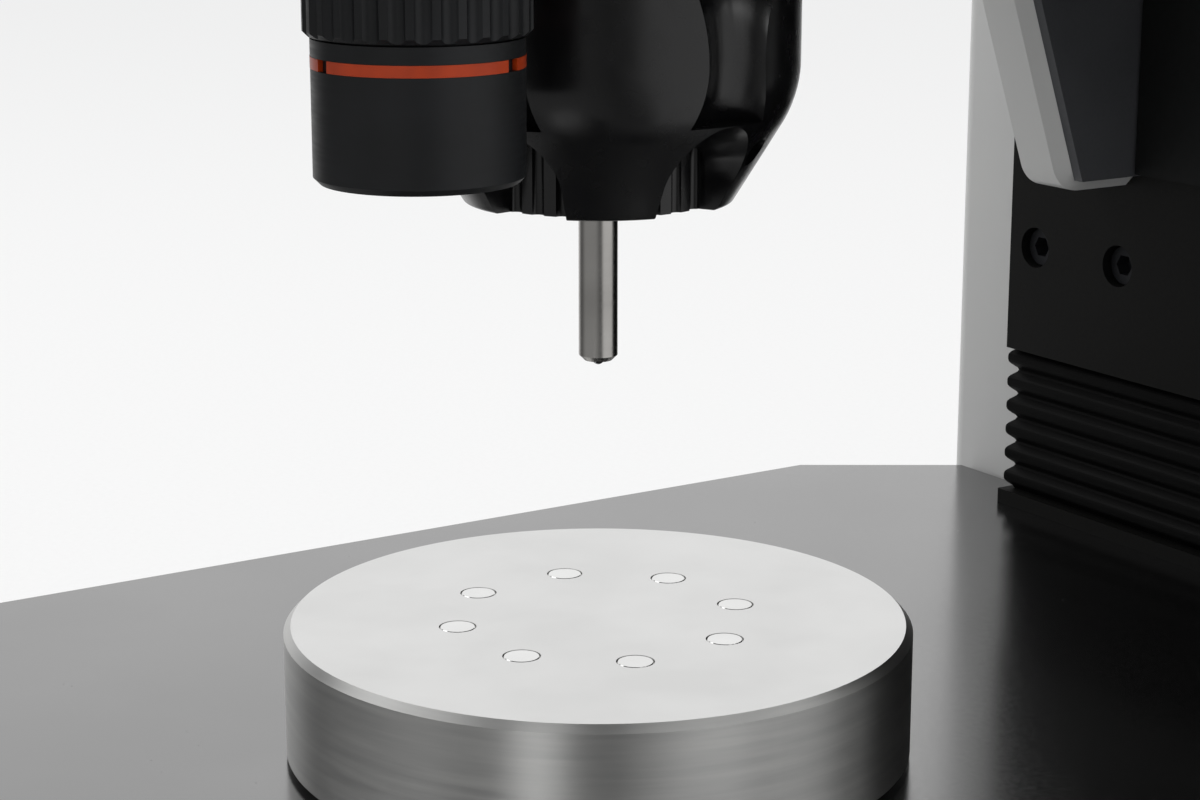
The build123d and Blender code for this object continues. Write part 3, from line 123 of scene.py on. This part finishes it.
def moulded_plastic(name, base, shade, roughness, grain):
    """Injection-moulded plastic: the mould's spark-eroded grain is grain metres across and 0.02 mm
    deep, and the colour drifts from base to shade over 25 mm."""
    made, tree, place = start_material(name)
    drift = add(tree, "ShaderNodeTexNoise", None,
                {"Vector": place, "Scale": 1 / (25 * MM), "Detail": 2.0})
    colour = add(tree, "ShaderNodeValToRGB", None, {"Fac": drift},
                 ((DRIFT_FROM, base), (DRIFT_TO, shade)))
    pits = add(tree, "ShaderNodeTexNoise", None,
               {"Vector": place, "Scale": 1 / grain, "Detail": 3.0})
    gloss = add(tree, "ShaderNodeMapRange", None,
                {"Value": pits, **NOISE_SPAN, "To Min": roughness - 0.05,
                 "To Max": roughness + 0.07})
    normal = add(tree, "ShaderNodeBump", None, {"Height": pits, "Distance": 0.02 * MM})
    plastic = add(tree, "ShaderNodeBsdfPrincipled", None,
                  {"Base Color": colour, "Roughness": gloss, "Normal": normal, "IOR": 1.49})
    add(tree, "ShaderNodeOutputMaterial", None, {"Surface": plastic})
    return made


def tooled_metal(name, base, shade, roughness, line, run, metallic=1.0, shine=0.5):
    """Turned, ground or drawn metal: tool lines line metres apart, drawn out along the axes whose
    run is small, and a polish that wanders over 18 mm between base and shade.  Real tool lines are
    0.02 to 0.2 mm apart, and are drawn coarser so that they show."""
    made, tree, place = start_material(name)
    wander = add(tree, "ShaderNodeTexNoise", None,
                 {"Vector": place, "Scale": 1 / (18 * MM), "Detail": 3.0})
    colour = add(tree, "ShaderNodeValToRGB", None, {"Fac": wander},
                 ((DRIFT_FROM, base), (DRIFT_TO, shade)))
    drawn = add(tree, "ShaderNodeMapping", None, {"Vector": place, "Scale": run})
    lines = add(tree, "ShaderNodeTexNoise", None,
                {"Vector": drawn, "Scale": 1 / line, "Detail": 3.0})
    gloss = add(tree, "ShaderNodeMapRange", None,
                {"Value": lines, **NOISE_SPAN, "To Min": roughness - 0.04,
                 "To Max": roughness + 0.05})
    normal = add(tree, "ShaderNodeBump", None, {"Height": lines, "Distance": 0.002 * MM})
    metal = add(tree, "ShaderNodeBsdfPrincipled", None,
                {"Base Color": colour, "Metallic": metallic, "Roughness": gloss, "Normal": normal,
                 "Specular IOR Level": shine})
    add(tree, "ShaderNodeOutputMaterial", None, {"Surface": metal})
    return made


# Light-grey polyurethane sprayed on sheet steel: an even satin.  Its peel is about 1 mm across.
dress(sprayed_paint("grey_polyurethane_on_sheet", "BCBCBA", "B9B9B8", 0.42, 1.2 * MM, 0.012 * MM),
      "column_side_left", "column_side_right", "rear_cover", "head_cheek_left", "head_cheek_right")

# The same paint on the moulded ABS hood and cap, where the peel is wider.
dress(sprayed_paint("grey_polyurethane_on_abs", "BCBCBA", "B9B9B8", 0.45, 1.8 * MM, 0.015 * MM),
      "head_hood", "column_cap")

# Grey cast iron, filled, rubbed down and sprayed: the peel follows the filler, so it is wide and
# deep.
dress(sprayed_paint("grey_paint_on_filled_iron", "AFAFAE", "ABABAA", 0.5, 3.0 * MM, 0.04 * MM),
      "base_casting")

# Black baking enamel on the machined holder: almost no colour of its own, a broad clean gloss.
dress(sprayed_paint("black_enamel_on_steel", "060607", "080809", 0.24, 5.0 * MM, 0.001 * MM, 0.0,
                    0.42),
      "indenter_holder")

# Black oxide and oil on the milled carriage plate and foot: matt, dusty black.
dress(sprayed_paint("matt_black_on_milled_steel", "0B0B0A", "0F0F0E", 0.5, 1.0 * MM, 0.006 * MM,
                    0.0, 0.15),
      "carriage_plate", "bellows_foot", "guide_end_block", "base_bottom_plate")

# Dark primer brushed on cast iron inside the head and the column: dull, uneven.
dress(sprayed_paint("dark_primer_on_iron", "0F1010", "131414", 0.6, 2.5 * MM, 0.03 * MM, 0.0, 0.2),
      "head_arm", "column_casting")

# Dark ABS panels inside the cheeks and under the head, with a fine spark grain.
dress(moulded_plastic("dark_moulded_abs", "424346", "47484B", 0.5, 0.8 * MM),
      "cheek_panel_left", "cheek_panel_right", "head_floor")

# Black nylon of the bezels, inlet and rocker: slightly waxy.
dress(moulded_plastic("black_moulded_nylon", "121213", "18181A", 0.42, 0.8 * MM),
      "control_bezels", "power_inlet", "power_rocker")

# Coloured ABS button caps, polished in the mould, so only a slow ripple shows in their gloss.
dress(moulded_plastic("red_moulded_abs", "B3201A", "A51B17", 0.26, 1.5 * MM), "stop_button")
dress(moulded_plastic("green_moulded_abs", "1F7A3D", "1A6E36", 0.26, 1.5 * MM), "start_button")

# Black enamel on the housings of motor, load unit and load cell.
dress(sprayed_paint("black_enamel_on_housings", "121314", "17181A", 0.36, 1.2 * MM, 0.01 * MM),
      "lift_motor", "load_actuator", "load_cell")

# Vulcanised rubber: dull, with a fine talc bloom.
dress(moulded_plastic("black_vulcanised_rubber", "151516", "1C1C1D", 0.68, 1.2 * MM),
      "levelling_feet", "drive_belt")

# Centreless-ground steel shanks: a soft mirror, with rings round them, finer in fact but drawn at
# 0.5 mm so that they show.
dress(tooled_metal("centreless_ground_steel", "ABA9A6", "9C9A97", 0.22, 0.5 * MM,
                   (0.06, 0.06, 1.0)),
      "indenter", "load_spindle", "load_ram", "changer_shaft")

# Lapped tungsten carbide: a small dark mirror.
dress(tooled_metal("lapped_tungsten_carbide", "8E8F92", "85868A", 0.12, 0.4 * MM, (1.0, 1.0, 1.0)),
      "indenter_ball")

# Ground and oiled guide steel: lines run up the rails.
dress(tooled_metal("oiled_guide_steel", "A5A6A8", "97989A", 0.3, 0.9 * MM, (1.0, 1.0, 0.05)),
      "guide_rails", "guide_blocks", "ball_screw", "ball_nut", "changer_bearings", "foot_locknuts")

# Ground pins pressed into the anvil's face, lapped with it, so they take the same soft mirror.
dress(tooled_metal("lapped_pin_steel", "F0F0EF", "E8E8E7", 0.12, 0.8 * MM, (0.1, 1.0, 1.0)),
      "anvil_pins")

# Black-oxide screws: a dark, faintly metallic skin with an oily sheen.
dress(tooled_metal("black_oxide_steel", "333437", "28292B", 0.36, 1.0 * MM, (1.0, 1.0, 1.0), 0.7),
      "carriage_screws", "column_bolts", "rear_cover_screws")
dress(tooled_metal("zinc_plated_steel", "8D8E90", "7F8082", 0.3, 0.8 * MM, (1.0, 1.0, 1.0)),
      "indenter_clamp_screw")

# Dark anodised aluminium: metal under a dyed oxide film, so a dark, cool, soft gleam.
dress(tooled_metal("dark_anodised_aluminium", "26272A", "202124", 0.38, 0.7 * MM, (0.2, 0.2, 1.0),
                   0.5),
      "changer_disc", "screw_pulley", "motor_pulley", "screw_bearing_blocks")

# Black anodised aluminium, turned and then bead-blasted: a satin black with a faint cool sheen.
dress(tooled_metal("black_anodised_aluminium", "0F1011", "131416", 0.42, 0.7 * MM, (0.1, 0.1, 1.0),
                   0.0, 0.22),
      "lens_barrel", "focus_ring", "overview_camera", "measuring_objective", "measuring_camera")


# ==== finishes of one node each ==================================================================
def turned_and_ground_steel():
    """Hardened tool steel.  The face is ground and lapped: a soft mirror with faint clouds 30 mm
    wide.  The rim and the chamfer are turned: rings of tool marks, really 0.1 mm apart and drawn at
    0.5 mm so that they show, which draw every reflection out up and down the rim.  Whatever looks
    nearly straight up counts as the face."""
    made, tree, place = start_material("turned_and_ground_tool_steel")
    centred = add(tree, "ShaderNodeMapping", None,
                  {"Vector": place, "Location": (-AXIS_X, -AXIS_Y, -ANVIL_TOP)})
    surface = add(tree, "ShaderNodeNewGeometry")
    parts = add(tree, "ShaderNodeSeparateXYZ", None, {0: surface.outputs["Normal"]})
    rim = add(tree, "ShaderNodeMapRange", None,
              {"Value": parts.outputs["Z"], "From Min": 0.95, "From Max": 0.8, "To Min": 0.0,
               "To Max": 1.0})
    round_it = add(tree, "ShaderNodeVectorMath", {"operation": "CROSS_PRODUCT"},
                   {0: (0.0, 0.0, 1.0), 1: centred})
    across = add(tree, "ShaderNodeVectorMath", {"operation": "CROSS_PRODUCT"},
                 {0: surface.outputs["Normal"], 1: round_it})
    height = add(tree, "ShaderNodeSeparateXYZ", None, {0: centred})
    rings = add(tree, "ShaderNodeTexNoise", {"noise_dimensions": "1D"},
                {"W": height.outputs["Z"], "Scale": 1 / (0.5 * MM), "Detail": 3.0})
    broken = add(tree, "ShaderNodeMapping", None, {"Vector": centred, "Scale": (0.05, 0.05, 1.0)})
    smears = add(tree, "ShaderNodeTexNoise", None,
                 {"Vector": broken, "Scale": 1 / (1.5 * MM), "Detail": 3.0})
    clouds = add(tree, "ShaderNodeTexNoise", None,
                 {"Vector": centred, "Scale": 1 / (30 * MM), "Detail": 3.0})
    face_colour = add(tree, "ShaderNodeValToRGB", None, {"Fac": clouds},
                      ((DRIFT_FROM, "E0E0DF"), (DRIFT_TO, "D9D9D8")))
    rim_colour = add(tree, "ShaderNodeValToRGB", None, {"Fac": smears},
                     ((0.3, "B0B0AF"), (0.7, "BCBCBA")))
    colour = add(tree, "ShaderNodeMix", {"data_type": "RGBA"},
                 {0: rim, 6: face_colour, 7: rim_colour})
    face_gloss = add(tree, "ShaderNodeMapRange", None,
                     {"Value": clouds, **NOISE_SPAN, "To Min": 0.15, "To Max": 0.2})
    rim_gloss = add(tree, "ShaderNodeMapRange", None,
                    {"Value": smears, **NOISE_SPAN, "To Min": 0.36, "To Max": 0.41})
    gloss = add(tree, "ShaderNodeMix", {"data_type": "FLOAT"},
                {0: rim, 2: face_gloss, 3: rim_gloss})
    drawn_out = add(tree, "ShaderNodeMath", {"operation": "MULTIPLY"}, {0: rim, 1: 0.8})
    marks = add(tree, "ShaderNodeMath", {"operation": "MULTIPLY"}, {0: rings, 1: rim})
    normal = add(tree, "ShaderNodeBump", None, {"Height": marks, "Distance": 0.004 * MM})
    steel = add(tree, "ShaderNodeBsdfPrincipled", None,
                {"Base Color": colour.outputs[2], "Metallic": 1.0, "Roughness": gloss,
                 "Anisotropic": drawn_out, "Tangent": across, "Normal": normal})
    add(tree, "ShaderNodeOutputMaterial", None, {"Surface": steel})
    return made


dress(turned_and_ground_steel(), "anvil")


def black_nickel_plate():
    """Ground steel table under black nickel: a dark mirror that takes the brightness of what is
    beyond it.  Its grinding, really 0.1 mm wide, is drawn at 1.4 mm, and the fine dust that lies on
    it in drifts 40 mm wide, really 0.1 mm, at 0.4 mm, so that both show."""
    made, tree, place = start_material("black_nickel_on_ground_steel")
    drift = add(tree, "ShaderNodeTexNoise", None,
                {"Vector": place, "Scale": 1 / (80 * MM), "Detail": 3.0})
    grinding = add(tree, "ShaderNodeTexNoise", None,
                   {"Vector": place, "Scale": 1 / (1.4 * MM), "Detail": 3.0})
    cells = add(tree, "ShaderNodeTexVoronoi", None, {"Vector": place, "Scale": 1 / (5 * MM)})
    near = add(tree, "ShaderNodeMapRange", None,
               {"Value": cells.outputs["Distance"], "From Min": 0.035, "From Max": 0.06,
                "To Min": 1.0, "To Max": 0.0})
    lies = add(tree, "ShaderNodeTexNoise", None,
               {"Vector": place, "Scale": 1 / (40 * MM), "Detail": 2.0})
    patch = add(tree, "ShaderNodeMapRange", None,
                {"Value": lies, "From Min": 0.52, "From Max": 0.66, "To Min": 0.0, "To Max": 0.6})
    dust = add(tree, "ShaderNodeMath", {"operation": "MULTIPLY"}, {0: near, 1: patch})
    nickel = add(tree, "ShaderNodeValToRGB", None, {"Fac": drift},
                 ((DRIFT_FROM, "8F8F8F"), (DRIFT_TO, "949494")))
    colour = add(tree, "ShaderNodeMix", {"data_type": "RGBA"},
                 {0: dust, 6: nickel, 7: linear("6E6E6C")})
    polish = add(tree, "ShaderNodeMapRange", None,
                 {"Value": grinding, **NOISE_SPAN, "To Min": 0.17, "To Max": 0.22})
    gloss = add(tree, "ShaderNodeMath", {"operation": "MAXIMUM"}, {0: polish, 1: dust})
    plate = add(tree, "ShaderNodeBsdfPrincipled", None,
                {"Base Color": colour.outputs[2], "Metallic": 1.0, "Roughness": gloss})
    add(tree, "ShaderNodeOutputMaterial", None, {"Surface": plate})
    return made


dress(black_nickel_plate(), "work_table")


def fired_enamel():
    """Orange-red enamel filled into the groove of the lens: glossy, a little uneven round the
    ring."""
    made, tree, place = start_material("orange_red_fired_enamel")
    streaks = add(tree, "ShaderNodeTexNoise", None,
                  {"Vector": place, "Scale": 1 / (6 * MM), "Detail": 2.0})
    colour = add(tree, "ShaderNodeValToRGB", None, {"Fac": streaks},
                 ((DRIFT_FROM, "962F07"), (DRIFT_TO, "872906")))
    gloss = add(tree, "ShaderNodeMapRange", None,
                {"Value": streaks, **NOISE_SPAN, "To Min": 0.34, "To Max": 0.42})
    enamel = add(tree, "ShaderNodeBsdfPrincipled", None,
                 {"Base Color": colour, "Roughness": gloss, "IOR": 1.5, "Specular IOR Level": 0.25})
    add(tree, "ShaderNodeOutputMaterial", None, {"Surface": enamel})
    return made


dress(fired_enamel(), "accent_ring")


def coated_glass():
    """Ground and polished lens glass with a thin violet coating: clear, very smooth, a cool
    tint."""
    made, tree, place = start_material("coated_optical_glass")
    haze = add(tree, "ShaderNodeTexNoise", None,
               {"Vector": place, "Scale": 1 / (9 * MM), "Detail": 2.0})
    colour = add(tree, "ShaderNodeValToRGB", None, {"Fac": haze},
                 ((DRIFT_FROM, "4A4660"), (DRIFT_TO, "3C3A55")))
    polish = add(tree, "ShaderNodeMapRange", None,
                 {"Value": haze, **NOISE_SPAN, "To Min": 0.02, "To Max": 0.05})
    glass = add(tree, "ShaderNodeBsdfPrincipled", None,
                {"Base Color": colour, "Roughness": polish, "IOR": 1.52, "Coat Weight": 0.6,
                 "Coat Tint": linear("B79BFF"), "Transmission Weight": 0.5})
    add(tree, "ShaderNodeOutputMaterial", None, {"Surface": glass})
    return made


dress(coated_glass(), "lens_glass")


def coated_cloth():
    """Woven bellows cloth coated with polyurethane: black and matt, with faint patches of dust.
    The threads are really 0.3 mm apart and are drawn at 0.8 mm so that they show."""
    made, tree, place = start_material("polyurethane_coated_cloth")
    threads = add(tree, "ShaderNodeTexWave", {"wave_type": "BANDS", "bands_direction": "DIAGONAL"},
                  {"Vector": place, "Scale": 1 / (0.8 * MM) / 20, "Distortion": 0.6})
    dust = add(tree, "ShaderNodeTexNoise", None,
               {"Vector": place, "Scale": 1 / (12 * MM), "Detail": 3.0})
    colour = add(tree, "ShaderNodeValToRGB", None, {"Fac": dust},
                 ((DRIFT_FROM, "050505"), (DRIFT_TO, "080808")))
    gloss = add(tree, "ShaderNodeMapRange", None,
                {"Value": dust, **NOISE_SPAN, "To Min": 0.5, "To Max": 0.62})
    normal = add(tree, "ShaderNodeBump", None, {"Height": threads, "Distance": 0.01 * MM})
    cloth = add(tree, "ShaderNodeBsdfPrincipled", None,
                {"Base Color": colour, "Roughness": gloss, "Normal": normal, "IOR": 1.48,
                 "Specular IOR Level": 0.1})
    add(tree, "ShaderNodeOutputMaterial", None, {"Surface": cloth})
    return made


# ==== folded bellows =============================================================================
FOLD_DEPTH = 2.2 * MM
CLOTH = 0.5 * MM
SIDE_STEPS = 13
RINGS_PER_FOLD = 12
bellows_cloth = coated_cloth()
dress(bellows_cloth, "lower_bellows", "upper_bellows")


def solid_from_rings(name, grid, material):
    """Closed mesh from a grid of rings: grid[i, j] is point j of ring i.  Each ring is a closed
    loop whose second half runs back beside its first, and a strip of faces closes the first and the
    last ring."""
    rings, points = grid.shape[:2]
    index = np.arange(rings * points).reshape(rings, points)
    after = np.roll(index, -1, axis=1)
    walls = np.stack([index[:-1], after[:-1], after[1:], index[1:]], axis=-1).reshape(-1, 4)
    half = np.arange(points // 2 - 1)
    back = points - 1 - half
    bottom = np.stack([index[0][half], index[0][back], index[0][back - 1], index[0][half + 1]],
                      axis=-1)
    top = np.stack([index[-1][half], index[-1][half + 1], index[-1][back - 1], index[-1][back]],
                   axis=-1)
    mesh = bpy.data.meshes.new(name)
    mesh.from_pydata(grid.reshape(-1, 3).tolist(), [],
                     np.concatenate([walls, bottom, top]).tolist())
    mesh.update()
    made = bpy.data.objects.new(name, mesh)
    bpy.context.scene.collection.objects.link(made)
    mesh.materials.append(material)
    return made


def cover_loop(low, high, inset):
    """Loop in plan along the left wall, front and right wall of a box, inset by inset, and back the
    same way one thickness of cloth further in."""
    corners = np.array([(0, 1), (0, 0), (1, 0), (1, 1)])
    steps = np.linspace(0, 1, SIDE_STEPS)[:-1, None]
    walls = [start + (end - start) * steps for start, end in zip(corners[:-1], corners[1:])]
    way = np.concatenate([*walls, corners[-1:]])
    size = np.array([high.x - low.x, high.y - low.y])
    outside, inside = (way * (size - (2 * depth, depth)) + (low.x + depth, low.y + depth)
                       for depth in (inset, inset + CLOTH))
    return np.concatenate([outside, inside[::-1]])


def folded_cover(name, node_name, folds):
    """Cover round a box: the loop of cover_loop repeated up it, inset by FOLD_DEPTH times the
    fourth power of a cosine that goes half a turn in one fold, so that the ridges are broad and
    round and the valleys narrow."""
    low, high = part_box(node_name)
    share = np.linspace(0, 1, RINGS_PER_FOLD * folds + 1)
    inset = FOLD_DEPTH * np.cos(np.pi * share * folds) ** 4
    heights = low.z + (high.z - low.z) * share
    loops = np.stack([cover_loop(low, high, depth) for depth in inset])
    levels = np.broadcast_to(heights[:, None, None], (*loops.shape[:2], 1))
    made = solid_from_rings(name, np.concatenate([loops, levels], axis=2), bellows_cloth)
    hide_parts(node_name)
    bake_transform(made)
    return made


folded_cover("lower_bellows_cloth", "lower_bellows", 6)
folded_cover("upper_bellows_cloth", "upper_bellows", 24)

# ==== floor, backdrop and light ==================================================================
# What metal and gloss mirror: a white backdrop behind the object and to its left, a white wall to
# its right, a grey one in front, and between them a dim room, so black parts stay black.  Each wall
# is the way to its middle, the cosines at which it starts and is full, and its brightness.
WALLS = (((-0.84, 0.54, 0.0), 0.5, 0.76, 0.94), ((0.92, 0.39, 0.0), 0.77, 0.88, 0.95),
         ((0.17, -0.98, 0.0), 0.6, 0.86, 0.45))
DIM = 0.2
BACKDROP = 0.93
WORLD_FILL = 0.8
FLOOR_REACH = 6.0
FLOOR_GLOW = 0.75


def room_brightness(tree, way):
    """Brightness of the room along a way: the greatest over WALLS of a ramp from DIM up to the
    wall's own, as the cosine of the angle between the way and the wall's middle goes from its start
    to its full."""
    unit = add(tree, "ShaderNodeVectorMath", {"operation": "NORMALIZE"}, {0: way})
    brightness = DIM
    for middle_way, start, full, level in WALLS:
        along = add(tree, "ShaderNodeVectorMath", {"operation": "DOT_PRODUCT"},
                    {0: unit, 1: middle_way})
        wall = add(tree, "ShaderNodeMapRange", None,
                   {"Value": along.outputs["Value"], "From Min": start, "From Max": full,
                    "To Min": DIM, "To Max": level})
        brightness = add(tree, "ShaderNodeMath", {"operation": "MAXIMUM"}, {0: brightness, 1: wall})
    return brightness


def bench_laminate():
    """Pale pressed laminate under the object: mostly an even glow to the camera, with enough of its
    own shade to seat the object, and in a reflection as bright or dim as the room is that way."""
    made, tree, place = start_material("pale_pressed_laminate")
    specks = add(tree, "ShaderNodeTexNoise", None,
                 {"Vector": place, "Scale": 1 / (3 * MM), "Detail": 2.0})
    colour = add(tree, "ShaderNodeValToRGB", None, {"Fac": specks},
                 ((DRIFT_FROM, "F2F2F1"), (DRIFT_TO, "EDEDEC")))
    cover = add(tree, "ShaderNodeBsdfDiffuse", None, {"Color": colour})
    path = add(tree, "ShaderNodeLightPath")
    level = add(tree, "ShaderNodeMix", {"data_type": "FLOAT"},
                {0: path.outputs["Is Camera Ray"], 2: room_brightness(tree, place), 3: BACKDROP})
    glow = add(tree, "ShaderNodeEmission", None, {"Color": linear("FEFEFE"), "Strength": level})
    seen = add(tree, "ShaderNodeMath", {"operation": "MULTIPLY"},
               {0: path.outputs["Is Camera Ray"], 1: FLOOR_GLOW})
    mirrored = add(tree, "ShaderNodeMath", {"operation": "MAXIMUM"},
                   {0: path.outputs["Is Glossy Ray"], 1: path.outputs["Is Transmission Ray"]})
    share = add(tree, "ShaderNodeMath", {"operation": "MAXIMUM"}, {0: seen, 1: mirrored})
    both = add(tree, "ShaderNodeMixShader", None, {0: share, 1: cover, 2: glow})
    add(tree, "ShaderNodeOutputMaterial", None, {"Surface": both})
    return made


floor_mesh = bpy.data.meshes.new("bench_floor")
floor_mesh.from_pydata([(-FLOOR_REACH, -FLOOR_REACH, 0), (FLOOR_REACH, -FLOOR_REACH, 0),
                        (FLOOR_REACH, FLOOR_REACH, 0), (-FLOOR_REACH, FLOOR_REACH, 0)], [],
                        [(0, 1, 2, 3)])
floor_mesh.materials.append(bench_laminate())
floor = bpy.data.objects.new("bench_floor", floor_mesh)
bpy.context.scene.collection.objects.link(floor)

scene = bpy.context.scene
scene.world = bpy.data.worlds.new("studio")
scene.world.use_nodes = True
sky = scene.world.node_tree
sky.nodes.clear()
walls_seen = room_brightness(sky, add(sky, "ShaderNodeTexCoord").outputs["Generated"])
path = add(sky, "ShaderNodeLightPath")
seen = add(sky, "ShaderNodeMix", {"data_type": "FLOAT"},
           {0: path.outputs["Is Camera Ray"], 2: walls_seen, 3: BACKDROP})
backdrop = add(sky, "ShaderNodeBackground", None, {"Color": linear("FEFEFE"), "Strength": seen})
fill = add(sky, "ShaderNodeBackground", None, {"Color": linear("F4F5F7"), "Strength": WORLD_FILL})
mirrored = add(sky, "ShaderNodeMath", {"operation": "MAXIMUM"},
               {0: path.outputs["Is Glossy Ray"], 1: path.outputs["Is Transmission Ray"]})
shown = add(sky, "ShaderNodeMath", {"operation": "MAXIMUM"},
            {0: path.outputs["Is Camera Ray"], 1: mirrored})
mixed = add(sky, "ShaderNodeMixShader", None, {0: shown, 1: fill, 2: backdrop})
add(sky, "ShaderNodeOutputWorld", None, {"Surface": mixed})

middle = Vector((AXIS_X, AXIS_Y, ANVIL_TOP))
# Softboxes: the way each lies from the anvil, its width and height in metres, and its power in
# watts.
softboxes = (("front_softbox", (0.84, -1.16, 0.9), 0.45, 0.9, 5.5),
             ("left_softbox", (-0.9, -1.4, 1.9), 2.6, 1.8, 22),
             ("near_softbox", (1.55, 0.05, 1.1), 1.3, 0.8, 6),
             ("right_softbox", (1.0, 1.2, 1.2), 1.0, 1.0, 3),
             ("top_softbox", (-0.5, 0.35, 2.0), 2.6, 2.6, 11))
for box_name, way, width, height, power in softboxes:
    light = bpy.data.lights.new(box_name, "AREA")
    light.shape = "RECTANGLE"
    light.size = width
    light.size_y = height
    light.energy = power
    softbox = bpy.data.objects.new(box_name, light)
    softbox.location = middle + Vector(way)
    softbox.rotation_euler = (-Vector(way)).to_track_quat("-Z", "Y").to_euler()
    scene.collection.objects.link(softbox)

# ==== camera =====================================================================================
# The eye is 0.55 m from the middle of the anvil's face and looks at a point just below the
# indenter's end.
EYE_FROM_ANVIL = (0.4432, -0.2798, 0.1737)
AIM_FROM_ANVIL = (0.0002, 0.0003, 0.0464)
FOCAL_PIXELS = 2626.6
PICTURE_WIDTH = 1200
lens = bpy.data.cameras.new("camera")
lens.sensor_width = 36
lens.lens = lens.sensor_width * FOCAL_PIXELS / PICTURE_WIDTH
lens.clip_start = 0.02
lens.clip_end = 50
camera = bpy.data.objects.new("camera", lens)
camera.location = middle + Vector(EYE_FROM_ANVIL)
view_line = Vector(AIM_FROM_ANVIL) - Vector(EYE_FROM_ANVIL)
camera.rotation_euler = view_line.to_track_quat("-Z", "Y").to_euler()
scene.collection.objects.link(camera)
scene.camera = camera
scene.view_settings.view_transform = "Standard"
